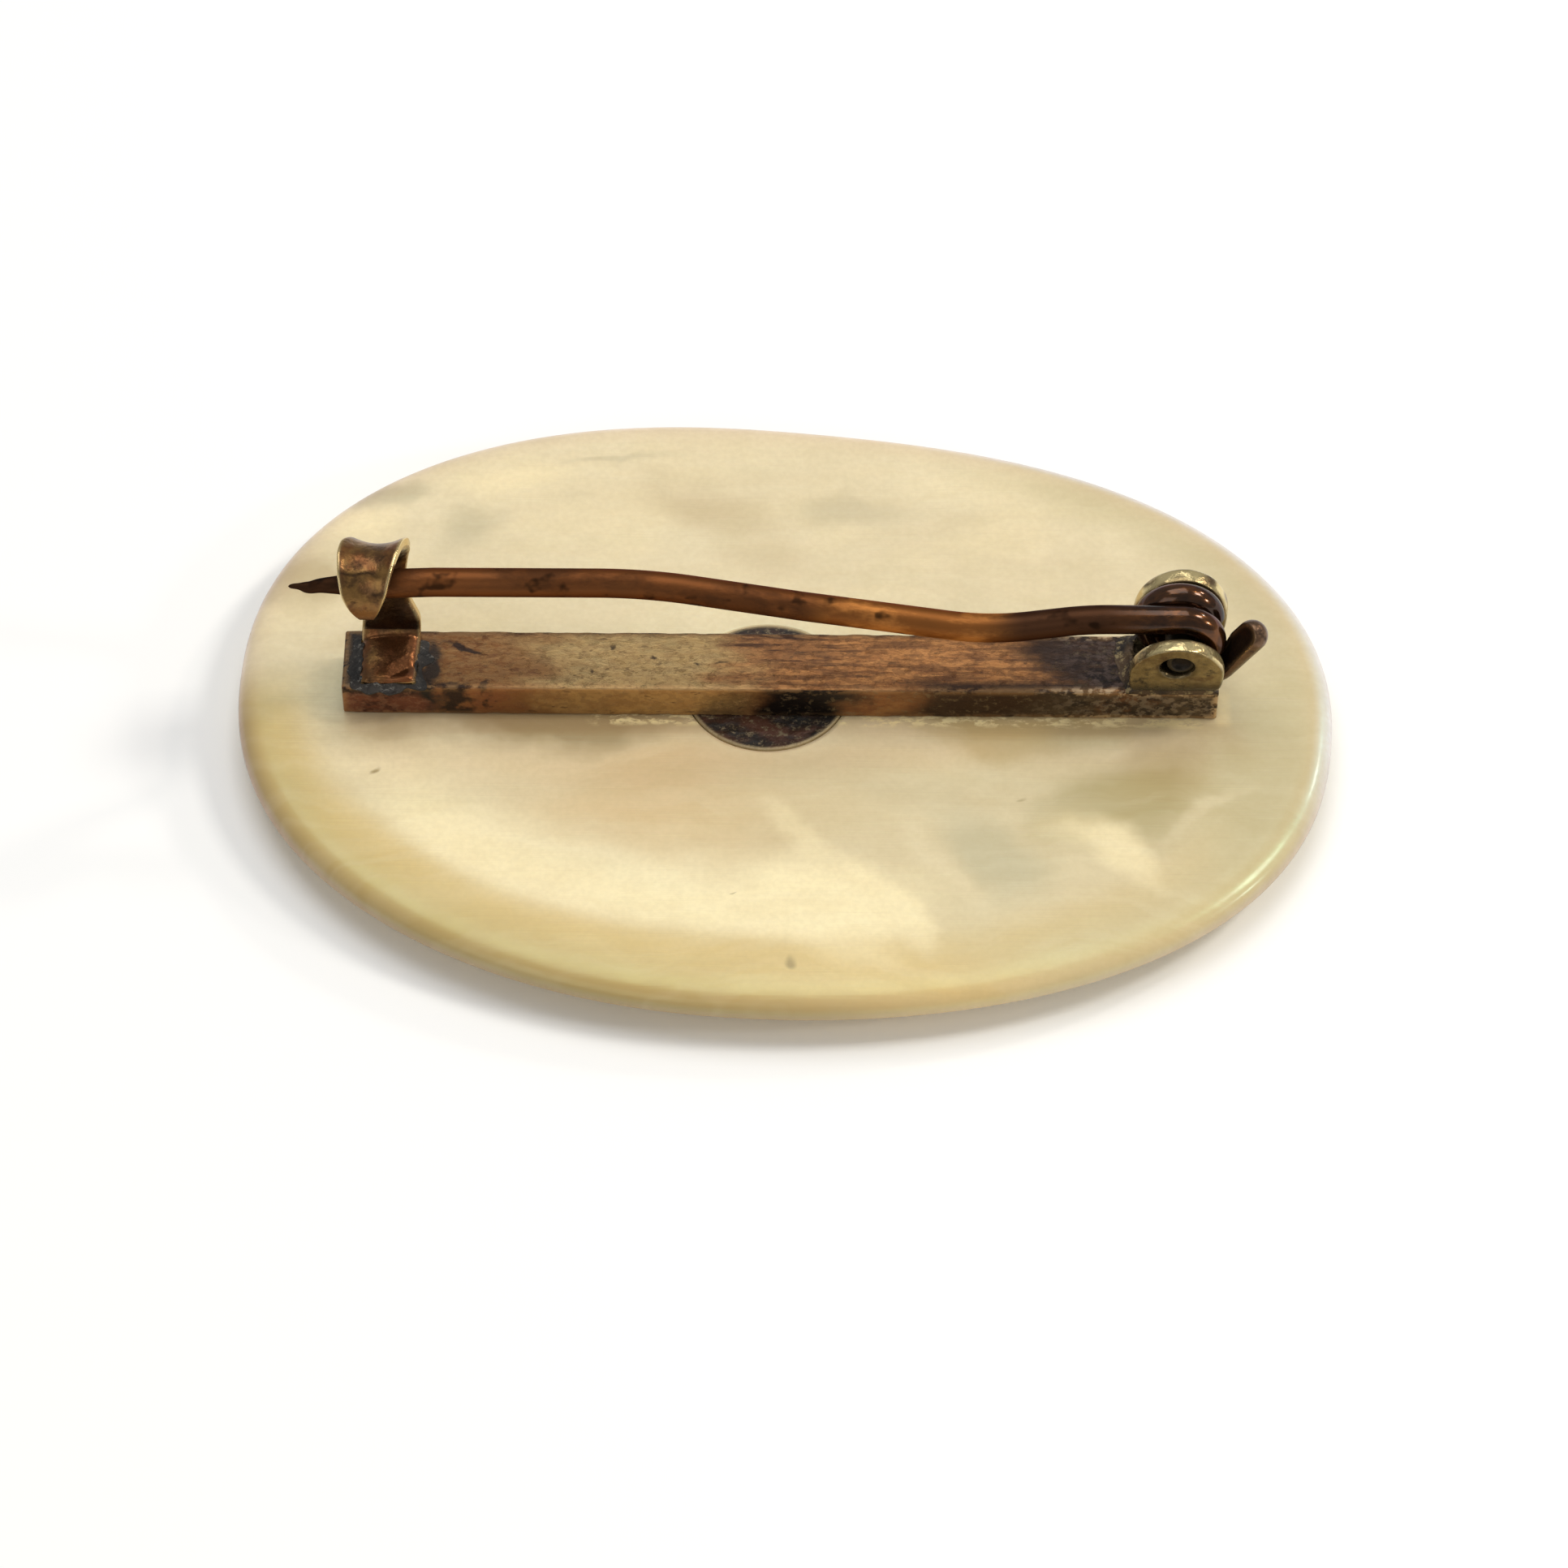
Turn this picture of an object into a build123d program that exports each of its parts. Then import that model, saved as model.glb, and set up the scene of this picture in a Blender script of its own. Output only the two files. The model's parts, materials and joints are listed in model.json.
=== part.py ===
from build123d import *
import math
import os
from typing import NamedTuple

# Mother of pearl brooch, lying on its front with its back and its pin upward.
# X runs along the bar, with the catch at -X and the joint at +X. Z is up.
# The origin is on the flat front, under the middle of the shell. Millimetres, degrees.

# Shell plaque: a squarish oval, turned a little against the bar and not quite even
PLAQUE_LONG_RADIUS = 20.17
PLAQUE_SHORT_RADIUS = 13.97
PLAQUE_SQUARENESS = 2.22
PLAQUE_TURN = -4.7
PLAQUE_UNEVENNESS = 0.015
PLAQUE_UNEVEN_PHASE = 102.0
PLAQUE_THICKNESS = 2.2
FRONT_BEVEL_WIDTH = 3.2
FRONT_BEVEL_HEIGHT = 1.35
FRONT_BEVEL_POWER = 0.62
BACK_EDGE_WIDTH = 1.0
BACK_EDGE_HEIGHT = 0.45
RIM_POINTS = 48
EDGE_STEPS = 5

# Disc let into the shell, and the bar that it carries
DISC_RADIUS = 3.0
DISC_THICKNESS = 0.42
DISC_PROUD = 0.06
DISC_SHIFT = -0.48
DISC_FIT = 0.05
BAR_LENGTH = 32.0
BAR_WIDTH = 2.78
BAR_HEIGHT = 1.5
BAR_SHIFT = -0.17
BAR_OFFSET = 0.55
BAR_EDGE = 0.09

# Pin wire, its coil and its drawn-out point
WIRE_DIAMETER = 1.06
COIL_INNER_RADIUS = 0.61
COIL_GAP = 0.02
STEM_LEVEL_RUN = 3.4
POINT_LENGTH = 2.9
POINT_REACH = 3.3
POINT_DROOP = 0.18
POINT_BEND_RADIUS = 5.0
POINT_BEND_BEFORE_HOOK = 1.9

# Joint: two leaning ears on a thin base strip, the rivet, and the stop prong
JOINT_INSET = 1.5
EAR_WIDTH = 3.45
EAR_WALL = 0.58
EAR_LEAN = 7.0
EAR_SKEW = 5.0
EAR_ARCH_OVER_RIVET = 1.12
EAR_BEND_RADIUS = 0.7
EAR_INNER_RADIUS = 0.3
BASE_STRIP = 0.08
COIL_SIDE_CLEARANCE = 0.05
COIL_RUNNING_CLEARANCE = 0.06
RIVET_FIT_IN_COIL = 0.06
RIVET_FIT_IN_EAR = 0.05
RIVET_RECESS = 0.2
PRONG_DIAMETER = 1.15
PRONG_REACH = 1.1
PRONG_RISE = 2.15
PRONG_ROOT = 0.7
PRONG_ROOT_RISE = 0.19
PRONG_KNEE_RISE = 0.46

# Catch: a strip bent to a C hook round the pin
CATCH_INSET = 1.6
STRIP_WALL = 0.45
STRIP_WIDTH = 2.6
FOOT_INSET = 0.06
FOOT_BEND_RADIUS = 0.45
HOOK_BORE = 2.0
HOOK_HEIGHT = 3.84
HOOK_SIDE_OFFSET = 0.25
NECK_LEAN = 6.0
HOOK_FLARE = 0.3
HOOK_STEP = 15.0

# Heights and places that follow from the sizes above
BAR_FLOOR = PLAQUE_THICKNESS
BAR_TOP = BAR_FLOOR + BAR_HEIGHT
WIRE_RADIUS = WIRE_DIAMETER / 2
COIL_RADIUS = COIL_INNER_RADIUS + WIRE_RADIUS
COIL_HALF_STEP = (WIRE_DIAMETER + COIL_GAP) / 2
COIL_SLANT_RADIUS = math.hypot(COIL_RADIUS, COIL_HALF_STEP)
COIL_SWEPT_RADIUS = COIL_SLANT_RADIUS + WIRE_RADIUS
BAR_RIGHT = BAR_SHIFT + BAR_LENGTH / 2
BAR_LEFT = BAR_SHIFT - BAR_LENGTH / 2
JOINT_X = BAR_RIGHT - JOINT_INSET
JOINT_Y = BAR_OFFSET
JOINT_Z = BAR_TOP + BASE_STRIP + COIL_RUNNING_CLEARANCE + COIL_SWEPT_RADIUS
COIL_TOP = JOINT_Z + COIL_RADIUS
CATCH_X = BAR_LEFT + CATCH_INSET
HOOK_Y = BAR_OFFSET + HOOK_SIDE_OFFSET
HOOK_Z = BAR_TOP + HOOK_HEIGHT
HOOK_RADIUS = (HOOK_BORE + STRIP_WALL) / 2
EAR_SLOPE = math.tan(math.radians(EAR_LEAN))
EAR_INNER_AT_COIL = COIL_HALF_STEP + WIRE_RADIUS + COIL_SIDE_CLEARANCE
RIVET_RADIUS = COIL_INNER_RADIUS - RIVET_FIT_IN_COIL


class StemRow(NamedTuple):
    """One bend of the pin: its place, its rise above a straight pin, and its radius."""

    along: float
    rise: float
    radius: float


# Places are shares of the way from the joint to the catch, rises and radii are wire diameters
STEM_ROWS = (
    StemRow(0.24, -0.9, 7.5),
    StemRow(0.474, -0.12, 9.0),
    StemRow(0.671, 0.67, 15.0),
)


class PointRow(NamedTuple):
    """One station of the pin's point: its place along it and its radius."""

    along: float
    radius: float


# Shares of the point's length and of the wire's radius
POINT_ROWS = (
    PointRow(0.0, 1.0),
    PointRow(0.2, 0.83),
    PointRow(0.38, 0.64),
    PointRow(0.6, 0.5),
    PointRow(0.76, 0.36),
    PointRow(0.85, 0.26),
    PointRow(0.94, 0.22),
    PointRow(1.0, 0.12),
)


class StripRow(NamedTuple):
    """One station of the catch's strip: its place, width, sideways shift and flare."""

    place: float
    width: float
    shift: float
    flare: float


# Places are shares of the neck's height, widths and shifts are shares of the strip's width
NECK_ROWS = (
    StripRow(0.0, 0.8, 0.08, 0.0),
    StripRow(0.2, 0.74, 0.05, 0.0),
    StripRow(0.5, 0.62, 0.02, 0.0),
    StripRow(0.85, 0.56, -0.02, 0.0),
)
# Places are angles round the pin, from level on the far side and over the top. The flare is
# a share of the hook's full flare.
HOOK_ROWS = (
    StripRow(0.0, 0.62, 0.0, 0.15),
    StripRow(30.0, 0.9, -0.03, 0.6),
    StripRow(60.0, 0.91, -0.1, 0.9),
    StripRow(90.0, 0.84, -0.175, 1.0),
    StripRow(120.0, 0.73, -0.21, 0.8),
    StripRow(150.0, 0.62, -0.225, 0.45),
    StripRow(175.0, 0.43, -0.215, 0.2),
    StripRow(195.0, 0.23, -0.195, 0.05),
    StripRow(206.0, 0.07, -0.2, 0.0),
)


def rim_xy(angle, inset):
    """Rim point at a polar angle: a superellipse with a threefold unevenness, turned."""
    long_radius = PLAQUE_LONG_RADIUS - inset
    short_radius = PLAQUE_SHORT_RADIUS - inset
    a = math.radians(angle)
    power = PLAQUE_SQUARENESS
    reach = abs(math.cos(a) / long_radius) ** power + abs(math.sin(a) / short_radius) ** power
    uneven = 1 + PLAQUE_UNEVENNESS * math.cos(3 * (a + math.radians(PLAQUE_UNEVEN_PHASE)))
    radius = uneven * reach ** (-1 / power)
    turned = a + math.radians(PLAQUE_TURN)
    return radius * math.cos(turned), radius * math.sin(turned)


def rim_middle():
    """Middle of the box round the rim, which the origin is put under."""
    xs, ys = zip(*(rim_xy(angle, 0.0) for angle in range(360)))
    return (min(xs) + max(xs)) / 2, (min(ys) + max(ys)) / 2


def plaque_level(height, inset):
    """Closed face of the shell at a height, moved in from the rim."""
    middle_x, middle_y = rim_middle()
    points = []
    for step in range(RIM_POINTS):
        x, y = rim_xy(360 * step / RIM_POINTS, inset)
        points.append((x - middle_x, y - middle_y, height))
    return make_face(Spline(*points, periodic=True))


def edge_levels():
    """Heights and insets of the shell's edge: a long bevel, a thin wall, a rounded edge."""
    turns = [math.pi / 2 * step / EDGE_STEPS for step in range(EDGE_STEPS + 1)]
    front = [
        (FRONT_BEVEL_HEIGHT * math.sin(t), FRONT_BEVEL_WIDTH * (1 - math.sin(t) ** FRONT_BEVEL_POWER))
        for t in turns
    ]
    back = [
        (
            PLAQUE_THICKNESS - BACK_EDGE_HEIGHT * (1 - math.sin(t)),
            BACK_EDGE_WIDTH * (1 - math.cos(t)),
        )
        for t in turns
    ]
    return front + back


def shell_plaque():
    """The shell: rounded back edge, thin wall, long front bevel, and the disc's seat."""
    body = loft([plaque_level(height, inset) for height, inset in edge_levels()], ruled=True)
    depth = DISC_THICKNESS - DISC_PROUD
    seat = Cylinder(
        DISC_RADIUS + DISC_FIT,
        depth,
        align=(Align.CENTER, Align.CENTER, Align.MAX),
    )
    return body - Pos(BAR_SHIFT + DISC_SHIFT, BAR_OFFSET, PLAQUE_THICKNESS) * seat


def disc():
    """Thin round plate in the shell's back, under the middle of the bar."""
    plate = Cylinder(
        DISC_RADIUS, DISC_THICKNESS, align=(Align.CENTER, Align.CENTER, Align.MAX)
    )
    return Pos(BAR_SHIFT + DISC_SHIFT, BAR_OFFSET, PLAQUE_THICKNESS + DISC_PROUD) * plate


def bar():
    """Square-edged bar, with its upper edges a little worn."""
    block = Box(
        BAR_LENGTH, BAR_WIDTH, BAR_HEIGHT, align=(Align.CENTER, Align.CENTER, Align.MIN)
    )
    top_edges = block.faces().sort_by(Axis.Z)[-1].edges()
    return Pos(BAR_SHIFT, BAR_OFFSET, BAR_FLOOR) * fillet(top_edges, BAR_EDGE)


def joint_channel():
    """U-shaped section of the joint, with leaning walls, drawn out along X."""
    height = JOINT_Z - BAR_TOP + EAR_ARCH_OVER_RIVET
    at_coil = JOINT_Z - COIL_RADIUS - BAR_TOP
    foot = EAR_INNER_AT_COIL - at_coil * EAR_SLOPE
    head = foot + height * EAR_SLOPE
    wall = EAR_WALL / math.cos(math.radians(EAR_LEAN))
    outer = [(foot + wall, 0), (head + wall, height), (-head - wall, height), (-foot - wall, 0)]
    inner = [
        (foot + BASE_STRIP * EAR_SLOPE, BASE_STRIP),
        (head, height),
        (-head, height),
        (-foot - BASE_STRIP * EAR_SLOPE, BASE_STRIP),
    ]
    solid = make_face(Polyline(*outer, close=True))
    solid = fillet(solid.vertices().group_by(Axis.Y)[0], EAR_BEND_RADIUS)
    hollow = make_face(Polyline(*inner, close=True))
    hollow = fillet(hollow.vertices().group_by(Axis.Y)[0], EAR_INNER_RADIUS)
    section = solid - hollow
    plane = Plane((JOINT_X, JOINT_Y, BAR_TOP), x_dir=(0, 1, 0), z_dir=(1, 0, 0))
    return extrude(plane * section, EAR_WIDTH, both=True)


def joint_arch():
    """Arch outline that both ears are cut to, drawn out along Y and a little askew."""
    half = EAR_WIDTH / 2
    top = JOINT_Z + EAR_ARCH_OVER_RIVET
    spring = top - half
    outline = Curve() + [
        Line((JOINT_X + half, BAR_FLOOR), (JOINT_X + half, spring)),
        ThreePointArc((JOINT_X + half, spring), (JOINT_X, top), (JOINT_X - half, spring)),
        Line((JOINT_X - half, spring), (JOINT_X - half, BAR_FLOOR)),
        Line((JOINT_X - half, BAR_FLOOR), (JOINT_X + half, BAR_FLOOR)),
    ]
    face = Plane((0, JOINT_Y, 0), x_dir=(1, 0, 0), z_dir=(0, -1, 0)) * make_face(outline)
    skew = math.radians(EAR_SKEW)
    return extrude(face, 2 * EAR_WIDTH, dir=(math.sin(skew), math.cos(skew), 0), both=True)


def cross_cylinder(radius, length):
    """Cylinder along Y, centred on the rivet's axis."""
    return Pos(JOINT_X, JOINT_Y, JOINT_Z) * Rot(90, 0, 0) * Cylinder(radius, length)


def joint_ears():
    """Both ears and their base strip, drilled for the rivet."""
    ears = joint_channel() & joint_arch()
    return ears - cross_cylinder(RIVET_RADIUS + RIVET_FIT_IN_EAR, BAR_LENGTH)


def stop_prong():
    """Round prong past the bar's end, turned up, and cut clear of the coil."""
    side = JOINT_Y - COIL_HALF_STEP + (PRONG_DIAMETER - WIRE_DIAMETER) / 2 + COIL_SIDE_CLEARANCE
    root = (BAR_RIGHT - PRONG_ROOT, side, BAR_TOP + PRONG_ROOT_RISE)
    knee = (BAR_RIGHT, side, BAR_TOP + PRONG_KNEE_RISE)
    tip = (BAR_RIGHT + PRONG_REACH, side, BAR_TOP + PRONG_RISE)
    path = FilletPolyline(root, knee, tip, radius=PRONG_DIAMETER / 2)
    start = Plane(root, z_dir=path % 0)
    prong = sweep(start * Circle(PRONG_DIAMETER / 2), path=path)
    prong += Pos(*tip) * Sphere(PRONG_DIAMETER / 2)
    free_run = 2 * (COIL_HALF_STEP + WIRE_RADIUS + COIL_SIDE_CLEARANCE)
    return prong - cross_cylinder(COIL_SWEPT_RADIUS + COIL_RUNNING_CLEARANCE, free_run)


def strip_section(row, centre, tangent, outward):
    """Cross-section of the strip: two arcs across it that flare outward at the ends."""
    half = row.width * STRIP_WIDTH / 2
    place = (CATCH_X + row.shift * STRIP_WIDTH, *centre)
    plane = Plane(place, x_dir=(1, 0, 0), z_dir=(0, *tangent))
    outside = plane.y_dir.Y * outward[0] + plane.y_dir.Z * outward[1]
    lift = math.copysign(row.flare * HOOK_FLARE, outside)
    low, high = -STRIP_WALL / 2, STRIP_WALL / 2
    if lift:
        lower = ThreePointArc((-half, low + lift), (0, low), (half, low + lift))
        upper = ThreePointArc((half, high + lift), (0, high), (-half, high + lift))
    else:
        lower = Line((-half, low), (half, low))
        upper = Line((half, high), (-half, high))
    right = Line((half, low + lift), (half, high + lift))
    left = Line((-half, high + lift), (-half, low + lift))
    return plane * make_face(Curve() + [lower, right, upper, left])


def row_between(rows, place):
    """Strip station at a place between the rows of a table."""
    for first, second in zip(rows, rows[1:]):
        if place <= second.place:
            share = (place - first.place) / (second.place - first.place)
            return StripRow(*(a + share * (b - a) for a, b in zip(first, second)))
    return rows[-1]


def hook_sections():
    """Sections of the hook and its lip, at even angles round the pin."""
    last = HOOK_ROWS[-1].place
    count = round(last / HOOK_STEP)
    sections = []
    for step in range(count + 1):
        angle = last * step / count
        a = math.radians(angle)
        out = (math.cos(a), math.sin(a))
        centre = (HOOK_Y + HOOK_RADIUS * out[0], HOOK_Z + HOOK_RADIUS * out[1])
        row = row_between(HOOK_ROWS, angle)
        sections.append(strip_section(row, centre, (-out[1], out[0]), out))
    return sections


def foot_and_neck_sections():
    """Sections of the foot, the bend at the bar's far edge, and the leaning neck."""
    lean = math.radians(NECK_LEAN)
    up = (math.sin(lean), math.cos(lean))
    out = (math.cos(lean), -math.sin(lean))
    top_y = HOOK_Y + HOOK_RADIUS * out[0]
    top_z = HOOK_Z + HOOK_RADIUS * out[1]
    floor_z = BAR_TOP + STRIP_WALL / 2
    corner_y = top_y - (top_z - floor_z) * math.tan(lean)
    start_y = BAR_OFFSET - BAR_WIDTH / 2 + FOOT_INSET
    bend_turn = math.pi / 2 - lean
    bend_run = FOOT_BEND_RADIUS * math.tan(bend_turn / 2)
    foot_row = NECK_ROWS[0]
    sections = [strip_section(foot_row, (start_y, floor_z), (1, 0), (0, -1))]
    for share in (0.0, 0.5, 1.0):
        t = share * bend_turn
        y = corner_y - bend_run + FOOT_BEND_RADIUS * math.sin(t)
        z = floor_z + FOOT_BEND_RADIUS * (1 - math.cos(t))
        tangent = (math.cos(t), math.sin(t))
        sections.append(strip_section(foot_row, (y, z), tangent, (tangent[1], -tangent[0])))
    for row in NECK_ROWS[1:]:
        z = floor_z + row.place * (top_z - floor_z)
        y = corner_y + row.place * (top_z - floor_z) * math.tan(lean)
        sections.append(strip_section(row, (y, z), up, out))
    return sections


def catch():
    """Foot, neck, hook and lip of the catch, one bent strip."""
    return loft(foot_and_neck_sections() + hook_sections(), ruled=True)


def back_fitting():
    """The soldered metal: disc, bar, catch, ears and stop prong, as one solid."""
    return disc() + bar() + catch() + joint_ears() + stop_prong()


def hinge_rivet():
    """Cross pin through both ears, its ends a little below their outer faces."""
    outer = EAR_INNER_AT_COIL + COIL_RADIUS * EAR_SLOPE + EAR_WALL
    return cross_cylinder(RIVET_RADIUS, 2 * (outer - RIVET_RECESS))


def stem_corners():
    """Corners of the stem, from the coil's top, through the hook, to the pin's tip."""
    start_y = JOINT_Y - COIL_HALF_STEP
    reach = JOINT_X - CATCH_X
    level_share = STEM_LEVEL_RUN / reach
    corners = [(JOINT_X, start_y, COIL_TOP), (JOINT_X - STEM_LEVEL_RUN, start_y, COIL_TOP)]
    for row in STEM_ROWS:
        side_share = (row.along - level_share) / (1 - level_share)
        x = JOINT_X - row.along * reach
        y = start_y + side_share * (HOOK_Y - start_y)
        z = COIL_TOP + row.along * (HOOK_Z - COIL_TOP) + row.rise * WIRE_DIAMETER
        corners.append((x, y, z))
    droop = POINT_DROOP / POINT_REACH
    for x in (CATCH_X + POINT_BEND_BEFORE_HOOK, CATCH_X - POINT_REACH):
        corners.append((x, HOOK_Y, HOOK_Z + (x - CATCH_X) * droop))
    return [Vector(*corner) for corner in corners]


def coil_arcs():
    """Coil round the rivet: a near quarter turn, a slanting half turn, a far half turn."""
    near_y = JOINT_Y - COIL_HALF_STEP
    far_y = JOINT_Y + COIL_HALF_STEP
    high = JOINT_Z + COIL_RADIUS
    left, right = JOINT_X - COIL_RADIUS, JOINT_X + COIL_RADIUS
    bulge = JOINT_Z - COIL_SLANT_RADIUS
    quarter = COIL_RADIUS * math.sqrt(0.5)
    near_middle = (JOINT_X + quarter, near_y, JOINT_Z + quarter)
    return [
        ThreePointArc((JOINT_X, near_y, high), near_middle, (right, near_y, JOINT_Z)),
        ThreePointArc((right, near_y, JOINT_Z), (JOINT_X, JOINT_Y, bulge), (left, far_y, JOINT_Z)),
        ThreePointArc((left, far_y, JOINT_Z), (JOINT_X, far_y, high), (right, far_y, JOINT_Z)),
    ]


def pin_point(start, run):
    """Drawn-out point, turned round the line of the pin's last run."""
    top = Spline(*((row.along * POINT_LENGTH, row.radius * WIRE_RADIUS) for row in POINT_ROWS))
    end = (POINT_LENGTH, POINT_ROWS[-1].radius * WIRE_RADIUS)
    outline = Curve() + [
        Line((0, 0), (0, WIRE_RADIUS)),
        top,
        Line(end, (POINT_LENGTH, 0)),
        Line((POINT_LENGTH, 0), (0, 0)),
    ]
    turned = revolve(make_face(outline), Axis.X)
    return Plane(start, x_dir=run, z_dir=run.cross(Vector(0, 1, 0))) * turned


def pin_wire():
    """One wire: the point, the bent stem, and the coil round the rivet."""
    corners = stem_corners()
    run = (corners[-1] - corners[-2]).normalized()
    start = corners[-1] - run * POINT_LENGTH
    corners[-1] = start
    radii = [WIRE_DIAMETER * row.radius for row in (STEM_ROWS[0], *STEM_ROWS)]
    radii.append(WIRE_DIAMETER * POINT_BEND_RADIUS)
    stem = FilletPolyline(*corners, radius=radii)
    path = Wire([*stem.edges(), *(edge for arc in coil_arcs() for edge in arc.edges())])
    wire = sweep(Plane(start, z_dir=-run) * Circle(WIRE_RADIUS), path=path)
    return wire + pin_point(start, run)


def main():
    """Build each node and write it as a STEP file."""
    os.makedirs("parts", exist_ok=True)
    nodes = {
        "shell_plaque": shell_plaque(),
        "back_fitting": back_fitting(),
        "hinge_rivet": hinge_rivet(),
        "pin_wire": pin_wire(),
    }
    for name, shape in nodes.items():
        export_step(shape, f"parts/{name}.step")
        print(name, "volume", round(shape.volume, 2))


main()
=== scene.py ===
"""Looks of a mother of pearl brooch, seen from its back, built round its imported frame.

The brooch lies on its front. X runs along the bar, from the catch to the joint, and Z is up.
Shapes are worked out in millimetres and go into the meshes in metres.
"""

import json
import logging
import math
from collections.abc import Sequence
from dataclasses import dataclass
from enum import Enum, StrEnum

import bpy
import numpy as np
from mathutils import Matrix, Vector


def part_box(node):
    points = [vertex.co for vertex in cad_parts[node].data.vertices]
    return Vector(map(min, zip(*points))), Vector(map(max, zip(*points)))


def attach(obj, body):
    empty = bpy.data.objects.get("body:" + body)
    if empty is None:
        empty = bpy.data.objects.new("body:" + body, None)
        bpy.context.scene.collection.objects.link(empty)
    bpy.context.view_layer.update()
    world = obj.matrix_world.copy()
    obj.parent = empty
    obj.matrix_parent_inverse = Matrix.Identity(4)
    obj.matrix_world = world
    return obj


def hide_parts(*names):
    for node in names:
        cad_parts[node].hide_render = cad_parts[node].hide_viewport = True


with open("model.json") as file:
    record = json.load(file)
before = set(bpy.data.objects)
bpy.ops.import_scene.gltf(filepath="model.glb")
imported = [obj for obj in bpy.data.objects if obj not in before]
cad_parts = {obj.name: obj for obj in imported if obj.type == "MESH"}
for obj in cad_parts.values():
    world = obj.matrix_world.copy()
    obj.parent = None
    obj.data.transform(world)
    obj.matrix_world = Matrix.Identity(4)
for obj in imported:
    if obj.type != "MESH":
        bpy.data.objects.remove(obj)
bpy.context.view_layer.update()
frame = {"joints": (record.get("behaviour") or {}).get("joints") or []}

MM = 0.001
TURN = 2 * math.pi
LOG = logging.getLogger("brooch")

# Places and sizes in mm that several pieces share.
JOINT = np.array(frame["joints"][0]["pos_m"]) / MM
BAR_TOP, BAR_RIGHT = 3.7, 15.83
DISC_MIDDLE = (-0.65, 0.55)
HOOK_X, HOOK_Y, HOOK_Z = -14.57, 0.8, 7.54
COIL_RADIUS = 1.14


# Numbers and shapes


def frame_box(node: str) -> np.ndarray:
    """Reads the lowest and highest corner of a frame node, in mm."""
    return np.array([list(corner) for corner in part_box(node)]) / MM


def around(count: int) -> np.ndarray:
    """Divides a full turn into even angles."""
    return np.linspace(0, TURN, count, endpoint=False)


def unit(vectors: np.ndarray) -> np.ndarray:
    """Scales the vectors on the last axis to a length of one."""
    return vectors / np.linalg.norm(vectors, axis=-1, keepdims=True)


def running_length(route: np.ndarray) -> np.ndarray:
    """Adds up the length from a route's start to each of its points."""
    return np.concatenate([[0], np.cumsum(np.linalg.norm(np.diff(route, axis=0), axis=1))])


def ease(low: float, high: float, value: np.ndarray) -> np.ndarray:
    """Rises from 0 at low to 1 at high with level ends: 3 t squared less 2 t cubed.

    Args:
        low: Value where the rise starts.
        high: Value where it ends. It may be below low.
        value: Values to map.

    Returns:
        Shares from 0 to 1.
    """
    t = np.clip((value - low) / (high - low), 0, 1)
    return t * t * (3 - 2 * t)


def ripple(points: np.ndarray, wavelength: float, seed: int) -> np.ndarray:
    """Smooth seeded unevenness: the mean of nine sine waves in random directions and phases.

    Args:
        points: Places in mm, with three coordinates on the last axis.
        wavelength: Middle wavelength in mm. Each wave differs from it by up to a third.
        seed: Seed of the directions and phases.

    Returns:
        Values round 0, mostly within 1 either way.
    """
    waves = 9
    draw = np.random.default_rng(seed)
    directions = draw.normal(size=(3, waves))
    directions /= np.linalg.norm(directions, axis=0)
    lengths = wavelength * draw.uniform(0.67, 1.33, waves)
    phases = draw.uniform(0, TURN, waves)
    return np.sin(points @ (directions * TURN / lengths) + phases).mean(-1) * 2


def soften(values: np.ndarray, reach: int) -> np.ndarray:
    """Rounds the corners of a row of values with a cosine-shaped running mean.

    Args:
        values: One value a station.
        reach: Stations that the mean reaches to either side.

    Returns:
        Softened values, as many as before.
    """
    kernel = 1 + np.cos(np.linspace(-math.pi, math.pi, 2 * reach + 1))
    padded = np.pad(values, reach, mode="edge")
    return np.convolve(padded, kernel / kernel.sum(), mode="valid")


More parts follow.
